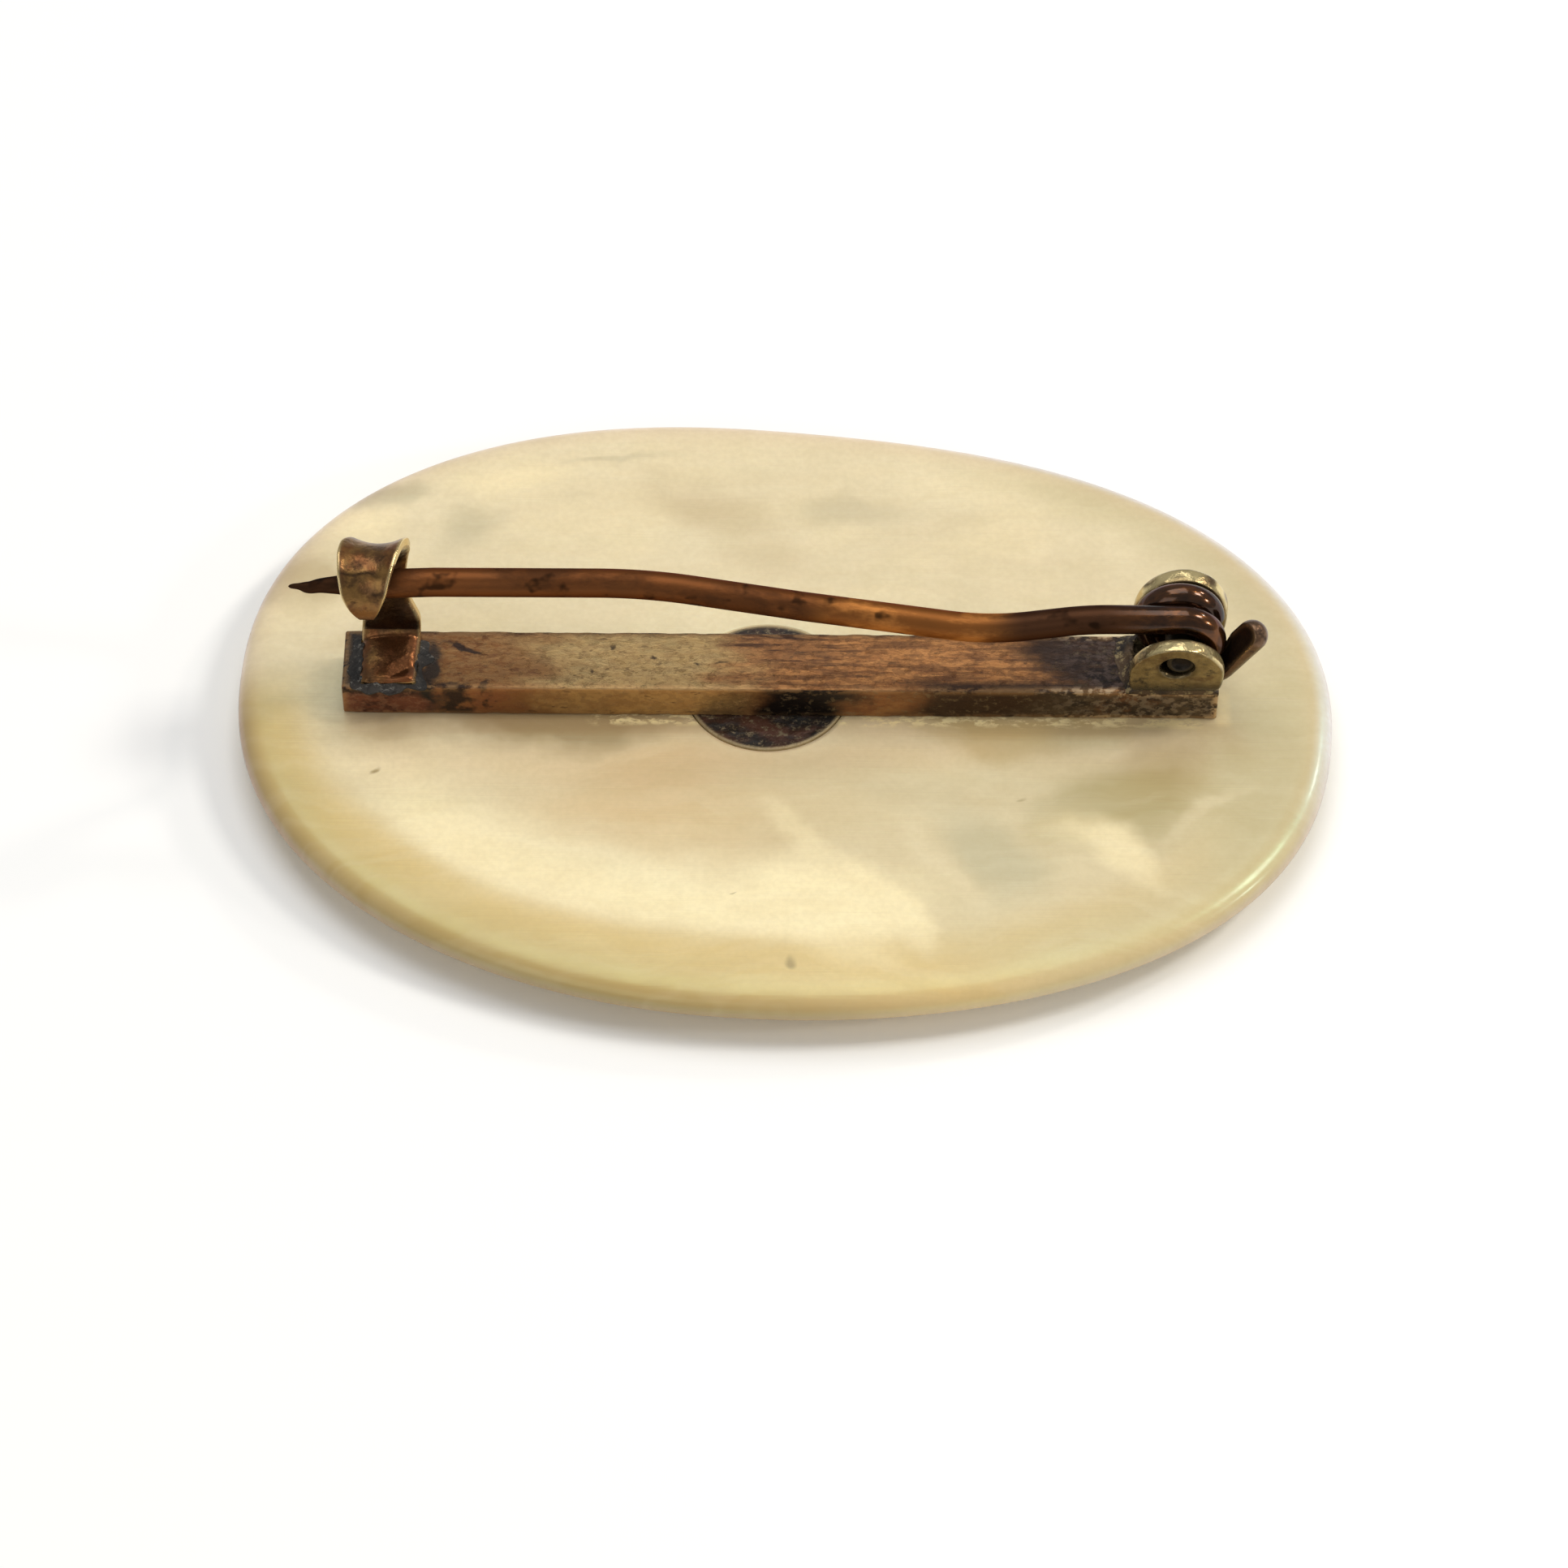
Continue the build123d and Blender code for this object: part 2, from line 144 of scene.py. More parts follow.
@dataclass
class Grid:
    """A surface as rows and columns of points, in mm, with marks that its material reads.

    Columns always close on themselves. Rows either close too, or end in a pole at both ends.
    A mark is one value for all points, for each row or for each point, or a vector for each.
    """

    points: np.ndarray
    marks: dict[str, np.ndarray | float]
    wrap_rows: bool = False

    def __post_init__(self) -> None:
        """Spreads each mark over all points."""
        shape = self.points.shape[:2]
        self.marks = {
            name: np.broadcast_to(mark, shape + np.shape(mark)[2:])
            for name, mark in self.marks.items()
        }

    def with_poles(self, values: np.ndarray) -> np.ndarray:
        """Lists values point by point, with the mean of the first and last row at the end.

        Args:
            values: Rows by columns, or rows by columns by three.

        Returns:
            One entry for each vertex.
        """
        width = values.shape[2] if values.ndim == 3 else 1
        flat = values.reshape(-1, width)
        if self.wrap_rows:
            return flat
        ends = [values[row].reshape(-1, width).mean(0) for row in (0, -1)]
        return np.concatenate([flat, ends])

    def faces(self) -> tuple[np.ndarray, np.ndarray]:
        """Works out the faces, turned outwards by the sign of the volume that they enclose.

        Returns:
            Four-cornered faces and three-cornered faces, as vertex numbers.
        """
        rows, columns = self.points.shape[:2]
        number = np.arange(rows * columns).reshape(rows, columns)
        if self.wrap_rows:
            number = np.concatenate([number, number[:1]])
        beside = np.roll(number, -1, axis=1)
        quads = np.stack([number[:-1], beside[:-1], beside[1:], number[1:]], -1).reshape(-1, 4)
        if self.wrap_rows:
            fans = np.zeros((0, 3), int)
        else:
            first, last = np.full(columns, rows * columns), np.full(columns, rows * columns + 1)
            start = np.stack([first, beside[0], number[0]], -1)
            end = np.stack([last, number[-1], beside[-1]], -1)
            fans = np.concatenate([start, end])
        corners = self.with_poles(self.points)
        thirds = np.concatenate([quads[:, [0, 1, 2]], quads[:, [0, 2, 3]], fans])
        a, b, c = (corners[thirds[:, k]] for k in range(3))
        if np.einsum("ij,ij->", a, np.cross(b, c)) < 0:
            return quads[:, ::-1], fans[:, ::-1]
        return quads, fans


def make_piece(
    name: str,
    grids: Sequence[Grid],
    material: bpy.types.Material,
    body: str = "brooch",
    node: str = "back_fitting",
) -> None:
    """Puts grids into one mesh object, which rides on a body and stands for a frame node.

    Args:
        name: Name of the piece.
        grids: Its surfaces, all with the same marks.
        material: Its finish.
        body: Body that it rides on.
        node: Frame node that it replaces.
    """
    corners, quads, fans, offset = [], [], [], 0
    for grid in grids:
        four, three = grid.faces()
        corners.append(grid.with_poles(grid.points))
        quads.append(four + offset)
        fans.append(three + offset)
        offset += len(corners[-1])
    mesh = bpy.data.meshes.new(name)
    vertices = np.concatenate(corners) * MM
    faces = np.concatenate(quads).tolist() + np.concatenate(fans).tolist()
    mesh.from_pydata(vertices.tolist(), [], faces)
    mesh.polygons.foreach_set("use_smooth", np.ones(len(mesh.polygons), bool))
    for mark in grids[0].marks:
        values = np.concatenate([grid.with_poles(grid.marks[mark]) for grid in grids])
        kind, key = ("FLOAT_VECTOR", "vector") if values.shape[1] == 3 else ("FLOAT", "value")
        attribute = mesh.attributes.new(mark, kind, "POINT")
        attribute.data.foreach_set(key, values.astype(np.float32).ravel())
    mesh.validate()
    mesh.materials.append(material)
    piece = bpy.data.objects.new(name, mesh)
    bpy.context.scene.collection.objects.link(piece)
    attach(piece, body)
    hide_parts(node)
    LOG.info("%s: %d vertices, %d faces", name, len(mesh.vertices), len(mesh.polygons))


def turned(
    middle: Sequence[float], radius: np.ndarray, height: np.ndarray, columns: int
) -> np.ndarray:
    """Turns a profile about an upright axis.

    Args:
        middle: X and Y of the axis.
        radius: Radius of each row, or of each point.
        height: Height of each row.
        columns: Points round the axis.

    Returns:
        Rows by columns by three.
    """
    angle = around(columns)
    reach = radius if radius.ndim == 2 else radius[:, None]
    points = np.empty((len(height), columns, 3))
    points[..., 0] = middle[0] + reach * np.cos(angle)
    points[..., 1] = middle[1] + reach * np.sin(angle)
    points[..., 2] = height[:, None]
    return points


def rounded_loop(width: float, height: float, radius: float, side: int, arc: int) -> np.ndarray:
    """Closed outline of a rectangle with round corners, centred on its middle.

    Four quarter circles are joined by the points that divide the straight sides evenly.

    Args:
        width: Full size on the first axis.
        height: Full size on the second axis.
        radius: Corner radius.
        side: Points inside each straight side.
        arc: Points on each corner.

    Returns:
        Points by four: the place on both axes and the outward direction on both axes.
    """
    turns = np.linspace(0, math.pi / 2, arc)
    corners = []
    for quarter in range(4):
        angle = turns + quarter * math.pi / 2
        out = np.stack([np.cos(angle), np.sin(angle)], -1)
        middle = np.sign(out[arc // 2]) * (np.array([width, height]) / 2 - radius)
        corners.append(np.concatenate([middle + radius * out, out], -1))
    share = np.linspace(0, 1, side + 2)[1:-1, None]
    parts = []
    for this, following in zip(corners, corners[1:] + corners[:1]):
        parts += [this, this[-1] * (1 - share) + following[0] * share]
    return np.concatenate(parts)


def rounded_block(low: np.ndarray, high: np.ndarray, radius: float, rows: int, side: int) -> Grid:
    """Block with rounded edges, as a rounded outline across Y and Z carried along X.

    At both ends the outline moves in by a quarter circle and then shrinks to the middle.

    Args:
        low: Lowest corner in mm.
        high: Highest corner in mm.
        radius: Radius of all edges.
        rows: Stations along the body.
        side: Points inside each straight side of the outline.

    Returns:
        Grid with the mark edge, which is 1 on the block's edges.
    """
    arc, lid = 6, np.full(9, radius)
    length, width, height = high - low
    loop = rounded_loop(width, height, radius, side, arc)
    turns = np.linspace(math.pi / 2, 0, arc)
    inset, rise = radius * (1 - np.cos(turns)), radius * (1 - np.sin(turns))
    body = np.linspace(radius, length - radius, rows)[1:-1]
    shrink = np.linspace(0.05, 0.95, len(lid))
    inset = np.concatenate([lid, inset, 0 * body, inset[::-1], lid])
    along = np.concatenate([0 * lid, rise, body, length - rise[::-1], 0 * lid + length])
    scale = np.concatenate([shrink, np.ones(len(along) - 2 * len(lid)), shrink[::-1]])
    across = (loop[:, :2] - inset[:, None, None] * loop[:, 2:]) * scale[:, None, None]
    middle = (low + high) / 2
    points = np.empty((*across.shape[:2], 3))
    points[..., 0] = low[0] + along[:, None]
    points[..., 1:] = middle[1:] + across
    gap = np.sort((high - low) / 2 - np.abs(points - middle), -1)[..., 1]
    return Grid(points, {"edge": ease(3.5 * radius, 0.5 * radius, gap)})


def tube(route: np.ndarray, radius: np.ndarray, columns: int) -> Grid:
    """Carries a circle along a route whose direction never lies along Y.

    The circle's first axis is Y crossed with the route's direction, and its second axis is the
    direction crossed with the first.

    Args:
        route: Stations by three, in mm.
        radius: Radius at each station.
        columns: Points round the circle.

    Returns:
        Grid with the mark straight: the same point on the wire before it was bent.
    """
    direction = unit(np.gradient(route, axis=0))
    first = unit(np.cross([0.0, 1.0, 0.0], direction))
    second = np.cross(direction, first)
    angle = around(columns)
    across, aside = radius[:, None] * np.cos(angle), radius[:, None] * np.sin(angle)
    ring = across[..., None] * first[:, None] + aside[..., None] * second[:, None]
    along = np.broadcast_to(running_length(route)[:, None], across.shape)
    return Grid(route[:, None] + ring, {"straight": np.stack([along, across, aside], -1)})


def even_steps(route: np.ndarray, count: int) -> np.ndarray:
    """Spreads stations evenly along a route by its running length.

    Args:
        route: Points by three. Points that repeat are left out.
        count: Number of stations wanted.

    Returns:
        Stations by three.
    """
    route = route[np.concatenate([[True], np.diff(running_length(route)) > 1e-6])]
    along = running_length(route)
    wanted = np.linspace(0, along[-1], count)
    return np.stack([np.interp(wanted, along, route[:, axis]) for axis in range(3)], -1)


def round_corners(corners: np.ndarray, radii: Sequence[float]) -> np.ndarray:
    """Replaces each inner corner of a broken line with a circular arc that meets both runs.

    The arc starts radius times the tangent of half the turn before the corner, and its points
    are its middle plus the radius times turned directions.

    Args:
        corners: Corner places, in order.
        radii: Arc radius at each inner corner.

    Returns:
        The line's points, 24 on each arc.
    """
    parts = [corners[:1]]
    for before, corner, after, radius in zip(corners, corners[1:], corners[2:], radii):
        inward, outward = unit(corner - before), unit(after - corner)
        turn = math.acos(float(np.clip(inward @ outward, -1, 1)))
        side = unit(outward - (outward @ inward) * inward)
        start = corner - inward * radius * math.tan(turn / 2)
        angle = np.linspace(0, turn, 24)[:, None]
        parts.append(start + radius * (np.sin(angle) * inward + (1 - np.cos(angle)) * side))
    return np.concatenate([*parts, corners[-1:]])


# Colours and patterns

Socket = bpy.types.NodeSocket
Part = float | Socket | tuple[Socket, float, float]


def linear(code: str) -> tuple[float, float, float, float]:
    """Turns an sRGB hex colour into the linear colour that a shader takes.

    Args:
        code: Six hex digits after a number sign.

    Returns:
        Red, green, blue and alpha.
    """
    channels = np.array([int(code[place : place + 2], 16) / 255 for place in (1, 3, 5)])
    curve = ((channels + 0.055) / 1.055) ** 2.4
    return (*np.where(channels <= 0.04045, channels / 12.92, curve).tolist(), 1.0)


class Surface:
    """A material in the making, which ends in one principled shader.

    The real size in mm behind each pattern is the width of a blotch, grain or streak. Rolling
    marks, scratches and grit are 0.01 to 0.05 mm wide on the real brooch. They are drawn about
    0.1 mm wide or more, because nothing finer shows in the render.
    """

    def __init__(self, name: str) -> None:
        """Starts an empty material of that name."""
        self.material = bpy.data.materials.new(name)
        self.material.use_nodes = True
        self.tree = self.material.node_tree
        self.tree.nodes.clear()

    def add(self, kind: str, inputs: dict | None = None, **settings) -> bpy.types.Node:
        """Adds a node, sets it up, and fills or links its inputs.

        Args:
            kind: Type name of the node.
            inputs: Input name or number to a value, or to the socket that feeds it.
            **settings: Properties of the node.

        Returns:
            The node.
        """
        node = self.tree.nodes.new(kind)
        for name, value in settings.items():
            setattr(node, name, value)
        for key, value in (inputs or {}).items():
            if isinstance(value, Socket):
                self.tree.links.new(value, node.inputs[key])
            else:
                node.inputs[key].default_value = value
        return node

    def millimetres(self) -> Socket:
        """Gives the object's own coordinates in mm."""
        place = self.add("ShaderNodeTexCoord").outputs["Object"]
        return self.add("ShaderNodeMapping", {"Vector": place, "Scale": (1 / MM,) * 3}).outputs[0]

    def warp(self, coords: Socket, scale: float, reach: tuple[float, float, float]) -> Socket:
        """Shifts coordinates by noise, so that what is placed on them gets uneven edges.

        Args:
            coords: Coordinates in mm.
            scale: Noise blotches in a mm.
            reach: Largest shift on each axis.

        Returns:
            Shifted coordinates.
        """
        inputs = {"Vector": coords, "Scale": scale, "Detail": 4.0}
        drift = {0: self.add("ShaderNodeTexNoise", inputs).outputs["Color"], 1: (0.5,) * 3}
        centred = self.add("ShaderNodeVectorMath", drift, operation="SUBTRACT").outputs[0]
        shift = {0: centred, 1: reach, 2: coords}
        return self.add("ShaderNodeVectorMath", shift, operation="MULTIPLY_ADD").outputs[0]

    def mask(self, *parts: Part) -> Socket | float:
        """Multiplies the parts of a mask.

        Args:
            *parts: Numbers, sockets, and ramps. A ramp is a socket with the values at which a
                smooth rise starts and ends.

        Returns:
            Socket with the product, or the number if there is only one.
        """
        result = None
        for part in parts:
            if isinstance(part, tuple):
                ramp = dict(zip(("Value", "From Min", "From Max"), part))
                node = self.add("ShaderNodeMapRange", ramp, interpolation_type="SMOOTHSTEP")
                part = node.outputs[0]
            if result is None:
                result = part
            else:
                node = self.add("ShaderNodeMath", {0: result, 1: part}, operation="MULTIPLY")
                result = node.outputs[0]
        return result

    def noise(
        self,
        coords: Socket,
        size: tuple[float, float, float],
        low: float,
        high: float,
        detail: float = 3.0,
        roughness: float = 0.55,
    ) -> Socket:
        """Noise between two levels, stretched along the three axes of its coordinates.

        Args:
            coords: Coordinates in mm.
            size: Real width in mm on each axis.
            low: Level that gives 0.
            high: Level that gives 1.
            detail: Octaves.
            roughness: Strength of each octave beside the one before it.

        Returns:
            Socket with the share.
        """
        placed = {"Vector": coords, "Scale": tuple(1 / width for width in size)}
        # At a scale of 0.5 a light or dark blotch is about one unit wide.
        inputs = {
            "Vector": self.add("ShaderNodeMapping", placed).outputs[0],
            "Scale": 0.5,
            "Detail": detail,
            "Roughness": roughness,
        }
        return self.mask((self.add("ShaderNodeTexNoise", inputs).outputs[0], low, high))

    def finish(
        self,
        ground: str,
        layers: Sequence[tuple],
        bumps: Sequence[tuple[Socket, float]],
        inputs: dict,
    ) -> bpy.types.Material:
        """Lays the colours over each other, each through its mask, and adds the shader.

        Args:
            ground: Hex colour that lies lowest.
            layers: For each layer its mask's parts and then its hex colour, lowest first.
            bumps: Heights, each with the real depth in mm that it stands for. They add up.
            inputs: Input name of the shader to a value or a socket.

        Returns:
            The material.
        """
        colour, normal = linear(ground), {}
        for *parts, code in layers:
            mix = {0: self.mask(*parts), 6: colour, 7: linear(code)}
            colour = self.add("ShaderNodeMix", mix, data_type="RGBA").outputs[2]
        for height, depth in bumps:
            bump = {"Height": height, "Distance": depth * MM, "Strength": 1.0, **normal}
            normal = {"Normal": self.add("ShaderNodeBump", bump).outputs[0]}
        inputs = {"Base Color": colour, **inputs, **normal}
        shader = self.add("ShaderNodeBsdfPrincipled", inputs)
        self.add("ShaderNodeOutputMaterial", {0: shader.outputs[0]})
        return self.material


# Finishes


class Pearl(StrEnum):
    """Tints of the nacre, from its brightest layer to the dark ones near the rim.

    Some tints paint light: the shade tint and the warm tint used below the bar paint shadows and
    shade, the blue tint paints a highlight on the rim, and the brown tint also paints shade along
    the rim.
    """

    CREAM = "#EBD8B3"
    LIGHT = "#FAE5B8"
    PINK = "#D7B484"
    STRAW = "#DCBC7E"
    OLIVE = "#C6AA6E"
    GREY = "#C8B795"
    LILAC = "#D3BC95"
    GREEN = "#C6B38A"
    MOSS = "#B59F72"
    WARM_SHADE = "#BEA068"
    BLUE_HIGHLIGHT = "#DCE2E4"
    SHADE = "#A88C64"
    BROWN = "#97794E"


class Stain(StrEnum):
    """Tints of the stains on the bar's top."""

    SOOT = "#1D1B1A"
    SCORCH = "#281A13"
    COPPER = "#B07A4A"


@dataclass(frozen=True)
class Cloud:
    """A soft-edged ellipse seen from above, given in mm and degrees."""

    x: float
    y: float
    long: float
    wide: float
    turn: float
    tint: Pearl | Stain
    strength: float
    core: float = 0.15

    def layer(self, surface: Surface, coords: Socket) -> tuple:
        """Makes a layer whose mask falls from the strength in the core to 0 at the ellipse.

        Args:
            surface: Material that it is part of.
            coords: Coordinates in mm.

        Returns:
            The mask's parts and the tint.
        """
        # The last scale is so large that the height of a place makes no difference.
        inputs = {
            "Vector": coords,
            "Location": (self.x, self.y, 0),
            "Rotation": (0, 0, math.radians(self.turn)),
            "Scale": (self.long, self.wide, 1 / MM),
        }
        placed = {0: surface.add("ShaderNodeMapping", inputs, vector_type="TEXTURE").outputs[0]}
        reach = surface.add("ShaderNodeVectorMath", placed, operation="LENGTH").outputs["Value"]
        return (reach, 1.0, self.core), self.strength, self.tint


# The bright swath of the lower half lies over the broad clouds and under the small ones.
BROAD_CLOUDS = (
    Cloud(-4.0, -4.6, 11.0, 4.0, -6, Pearl.PINK, 0.85),
    Cloud(7.0, -6.0, 13.0, 6.5, -8, Pearl.LILAC, 0.65, 0.45),
    Cloud(18.0, -3.5, 5.0, 8.0, 0, Pearl.GREEN, 0.95),
    Cloud(12.9, -5.2, 4.4, 2.8, 20, Pearl.MOSS, 1.0, 0.3),
    # The last two paint shade on the shell just below the bar: warm shade under its right half and
    # a shadow under its left half.
    Cloud(9.0, -1.3, 9.0, 1.7, 0, Pearl.WARM_SHADE, 0.8, 0.2),
    Cloud(-9.0, -1.2, 9.0, 1.8, 0, Pearl.SHADE, 0.92, 0.3),
)

SMALL_CLOUDS = (
    Cloud(1.2, -9.6, 4.6, 3.2, -30, Pearl.LIGHT, 1.0, 0.3),
    Cloud(0.8, -6.2, 3.4, 0.9, -45, Pearl.LIGHT, 0.45),
    Cloud(8.2, -7.2, 3.8, 2.0, -50, Pearl.GREY, 1.0, 0.3),
    Cloud(3.9, -9.2, 2.8, 0.9, -49, Pearl.LIGHT, 0.8, 0.3),
    Cloud(6.2, -7.7, 3.2, 0.8, -50, Pearl.CREAM, 0.5),
    Cloud(12.1, -7.0, 2.9, 1.3, -36, Pearl.LIGHT, 0.75, 0.25),
    Cloud(15.9, -5.2, 3.2, 0.5, 40, Pearl.CREAM, 0.4),
    Cloud(-14.6, 9.9, 2.2, 0.9, 20, Pearl.GREY, 0.85),
    Cloud(-12.0, 8.2, 2.0, 1.5, 55, Pearl.GREY, 0.7),
    Cloud(-15.9, 8.5, 1.8, 1.3, 0, Pearl.LIGHT, 0.75),
    Cloud(-10.4, 11.0, 3.2, 1.0, 14, Pearl.LIGHT, 0.7),
    Cloud(-6.5, 12.2, 3.0, 0.3, 6, Pearl.GREY, 0.5),
    Cloud(-2.7, 9.9, 4.2, 2.0, -20, Pearl.LILAC, 0.85),
    Cloud(3.0, 9.7, 3.4, 1.1, -10, Pearl.GREY, 0.6),
    Cloud(-0.3, 7.2, 3.0, 1.5, 0, Pearl.LILAC, 0.6),
    # A painted shadow beside the pin's point.
    Cloud(-18.3, 6.3, 2.6, 1.6, 0, Pearl.SHADE, 0.55),
    Cloud(-15.6, 3.4, 2.4, 1.2, 10, Pearl.LILAC, 0.4),
    Cloud(-14.46, -3.02, 0.24, 0.14, 30, Pearl.BROWN, 0.8),
    Cloud(0.59, -12.95, 0.28, 0.26, 0, Pearl.BROWN, 0.75),
    Cloud(9.6, -4.2, 0.28, 0.12, 0, Pearl.BROWN, 0.5),
    Cloud(-2.2, -8.6, 0.22, 0.05, -20, Pearl.BROWN, 0.6),
)

BAR_STAINS = (
    Cloud(-11.8, 1.1, 0.95, 0.16, -20, Stain.SCORCH, 0.95, 0.5),
    Cloud(-12.0, -0.74, 0.8, 0.2, 0, Stain.SCORCH, 0.95, 0.5),
    Cloud(-10.9, -0.66, 0.28, 0.24, 0, Stain.SCORCH, 0.85, 0.5),
    Cloud(-7.0, 0.0, 0.14, 0.16, 0, Stain.SCORCH, 0.8),
    Cloud(-6.3, 1.2, 0.12, 0.1, 0, Stain.SCORCH, 0.8),
    Cloud(-4.9, 0.7, 0.2, 0.12, 0, Stain.SCORCH, 0.85),
    Cloud(-3.1, 0.35, 0.14, 0.12, 0, Stain.SCORCH, 0.85),
    Cloud(-2.3, 0.45, 0.34, 0.1, 0, Stain.SCORCH, 0.75),
    Cloud(11.4, 0.8, 4.2, 1.8, -12, Stain.SCORCH, 0.97, 0.45),
    Cloud(12.6, -0.72, 1.8, 0.22, 0, Stain.COPPER, 0.75),
    Cloud(-15.6, 0.5, 0.9, 2.4, 0, Stain.SOOT, 0.97, 0.6),
    Cloud(-14.2, -0.9, 1.9, 0.75, 0, Stain.SOOT, 0.97, 0.65),
    Cloud(-12.95, 0.3, 0.55, 1.6, 0, Stain.SOOT, 0.9, 0.4),
)


@dataclass(frozen=True)
class PolishedNacre:
    """Mother of pearl, sawn and polished: cloudy cream layers under a soft satin gloss.

    Nacre has an index of refraction of 1.53 to 1.69. Light goes about a millimetre into it, and
    a thin film gives its weak play of colour.
    """

    name: str = "polished_mother_of_pearl"
    index: float = 1.56
    roughness: float = 0.34
    glow_depth: float = 1.1
    film: float = 398.0

    def material(self) -> bpy.types.Material:
        """Builds the material: broad layers, clouds with painted shadows among them, the rim with
        painted shade and a painted highlight, old glue with a painted highlight, and then fine
        grain.

        Returns:
            The material.
        """
        s = Surface(self.name)
        flat = s.millimetres()
        x, y, _ = s.add("ShaderNodeSeparateXYZ", {0: flat}).outputs
        inset = s.add("ShaderNodeAttribute", attribute_name="inset").outputs["Fac"]
        bent = s.warp(flat, 0.16, (5.0, 5.0, 0.0))
        billow = s.noise(bent, (7.0, 3.6, 7.0), 0.35, 0.68)
        veil = s.noise(bent, (3.4, 1.6, 3.4), 0.42, 0.68, 4.0)
        growth = s.noise(bent, (5.0, 0.35, 5.0), 0.4, 0.65, 2.0)
        glue_and_glint = s.noise(flat, (0.45, 0.2, 0.3), 0.44, 0.56, 5.0, 0.7)
        mottle = s.noise(flat, (0.7, 0.5, 0.7), 0.3, 0.75, 5.0)
        grain = s.noise(flat, (0.12, 0.12, 0.12), 0.3, 0.7)
        scuff = s.noise(flat, (2.6, 0.12, 0.4), 0.5, 0.62, 2.0)
        swell = s.noise(flat, (3.5, 3.5, 3.5), 0.2, 0.8, 1.0)
        # Ramps run from the rim inwards by the inset, along the shell by x and across it by y.
        level = s.mask((y, 2.0, -1.5))
        swath = s.mask((inset, 2.7, 3.8), (inset, 7.4, 4.3), (x, -17.0, -12.5), (x, 6.5, 2.5))
        beside_bar = s.mask((y, -1.4, -1.05), (y, -0.5, -0.9), (x, -7.4, -6.6), (x, 15.6, 14.8))
        bar_end = s.mask((x, 15.7, 15.95), (x, 16.5, 16.15), (y, -1.3, -0.9), (y, 0.7, 0.2))
        layers = [
            (billow, 0.4, Pearl.LILAC),
            (veil, 0.35, Pearl.LIGHT),
            ((inset, 3.6, 1.4), (x, -11.0, -16.5), level, 0.9, Pearl.STRAW),
            ((inset, 4.2, 2.2), (y, -3.0, -7.5), 0.9, Pearl.STRAW),
            ((inset, 2.8, 0.6), (x, 4.0, -8.0), level, 0.85, Pearl.OLIVE),
            ((inset, 3.6, 1.2), (x, 5.0, 11.0), 0.6, Pearl.GREEN),
            *[cloud.layer(s, bent) for cloud in BROAD_CLOUDS],
            (swath, (y, -1.5, -5.5), 0.95, Pearl.LIGHT),
            *[cloud.layer(s, bent) for cloud in SMALL_CLOUDS],
            # Painted shade in a thin band along the rim, strongest on the lower left.
            ((inset, 0.9, 0.0), (x, 9.0, 0.0), level, 0.55, Pearl.BROWN),
            # A painted bluish highlight along the rim on the right.
            ((inset, 0.8, 0.1), (x, 3.0, 11.0), (y, -7.0, -1.0), 0.7, Pearl.BLUE_HIGHLIGHT),
            # Old glue beside the bar, painted brighter than its own colour as a highlight.
            (beside_bar, glue_and_glint, "#FBE5AC"),
            (bar_end, 0.65, "#F3DCA8"),
            (mottle, 0.12, "#AE9467"),
            (growth, 0.06, "#FFF4D6"),
            (grain, 0.12, "#B79D72"),
        ]
        gloss = {"Value": mottle, "To Min": self.roughness - 0.05, "To Max": self.roughness + 0.08}
        inputs = {
            "Roughness": s.add("ShaderNodeMapRange", gloss).outputs[0],
            "IOR": self.index,
            "Subsurface Weight": 0.16,
            "Subsurface Radius": (0.8, 0.7, 0.5),
            "Subsurface Scale": self.glow_depth * MM,
            "Coat Weight": 0.3,
            "Coat Roughness": 0.18,
            "Coat IOR": 1.5,
            "Thin Film Thickness": self.film,
            "Thin Film IOR": 1.4,
        }
        return s.finish(Pearl.CREAM, layers, [(swell, 0.05), (scuff, 0.002)], inputs)


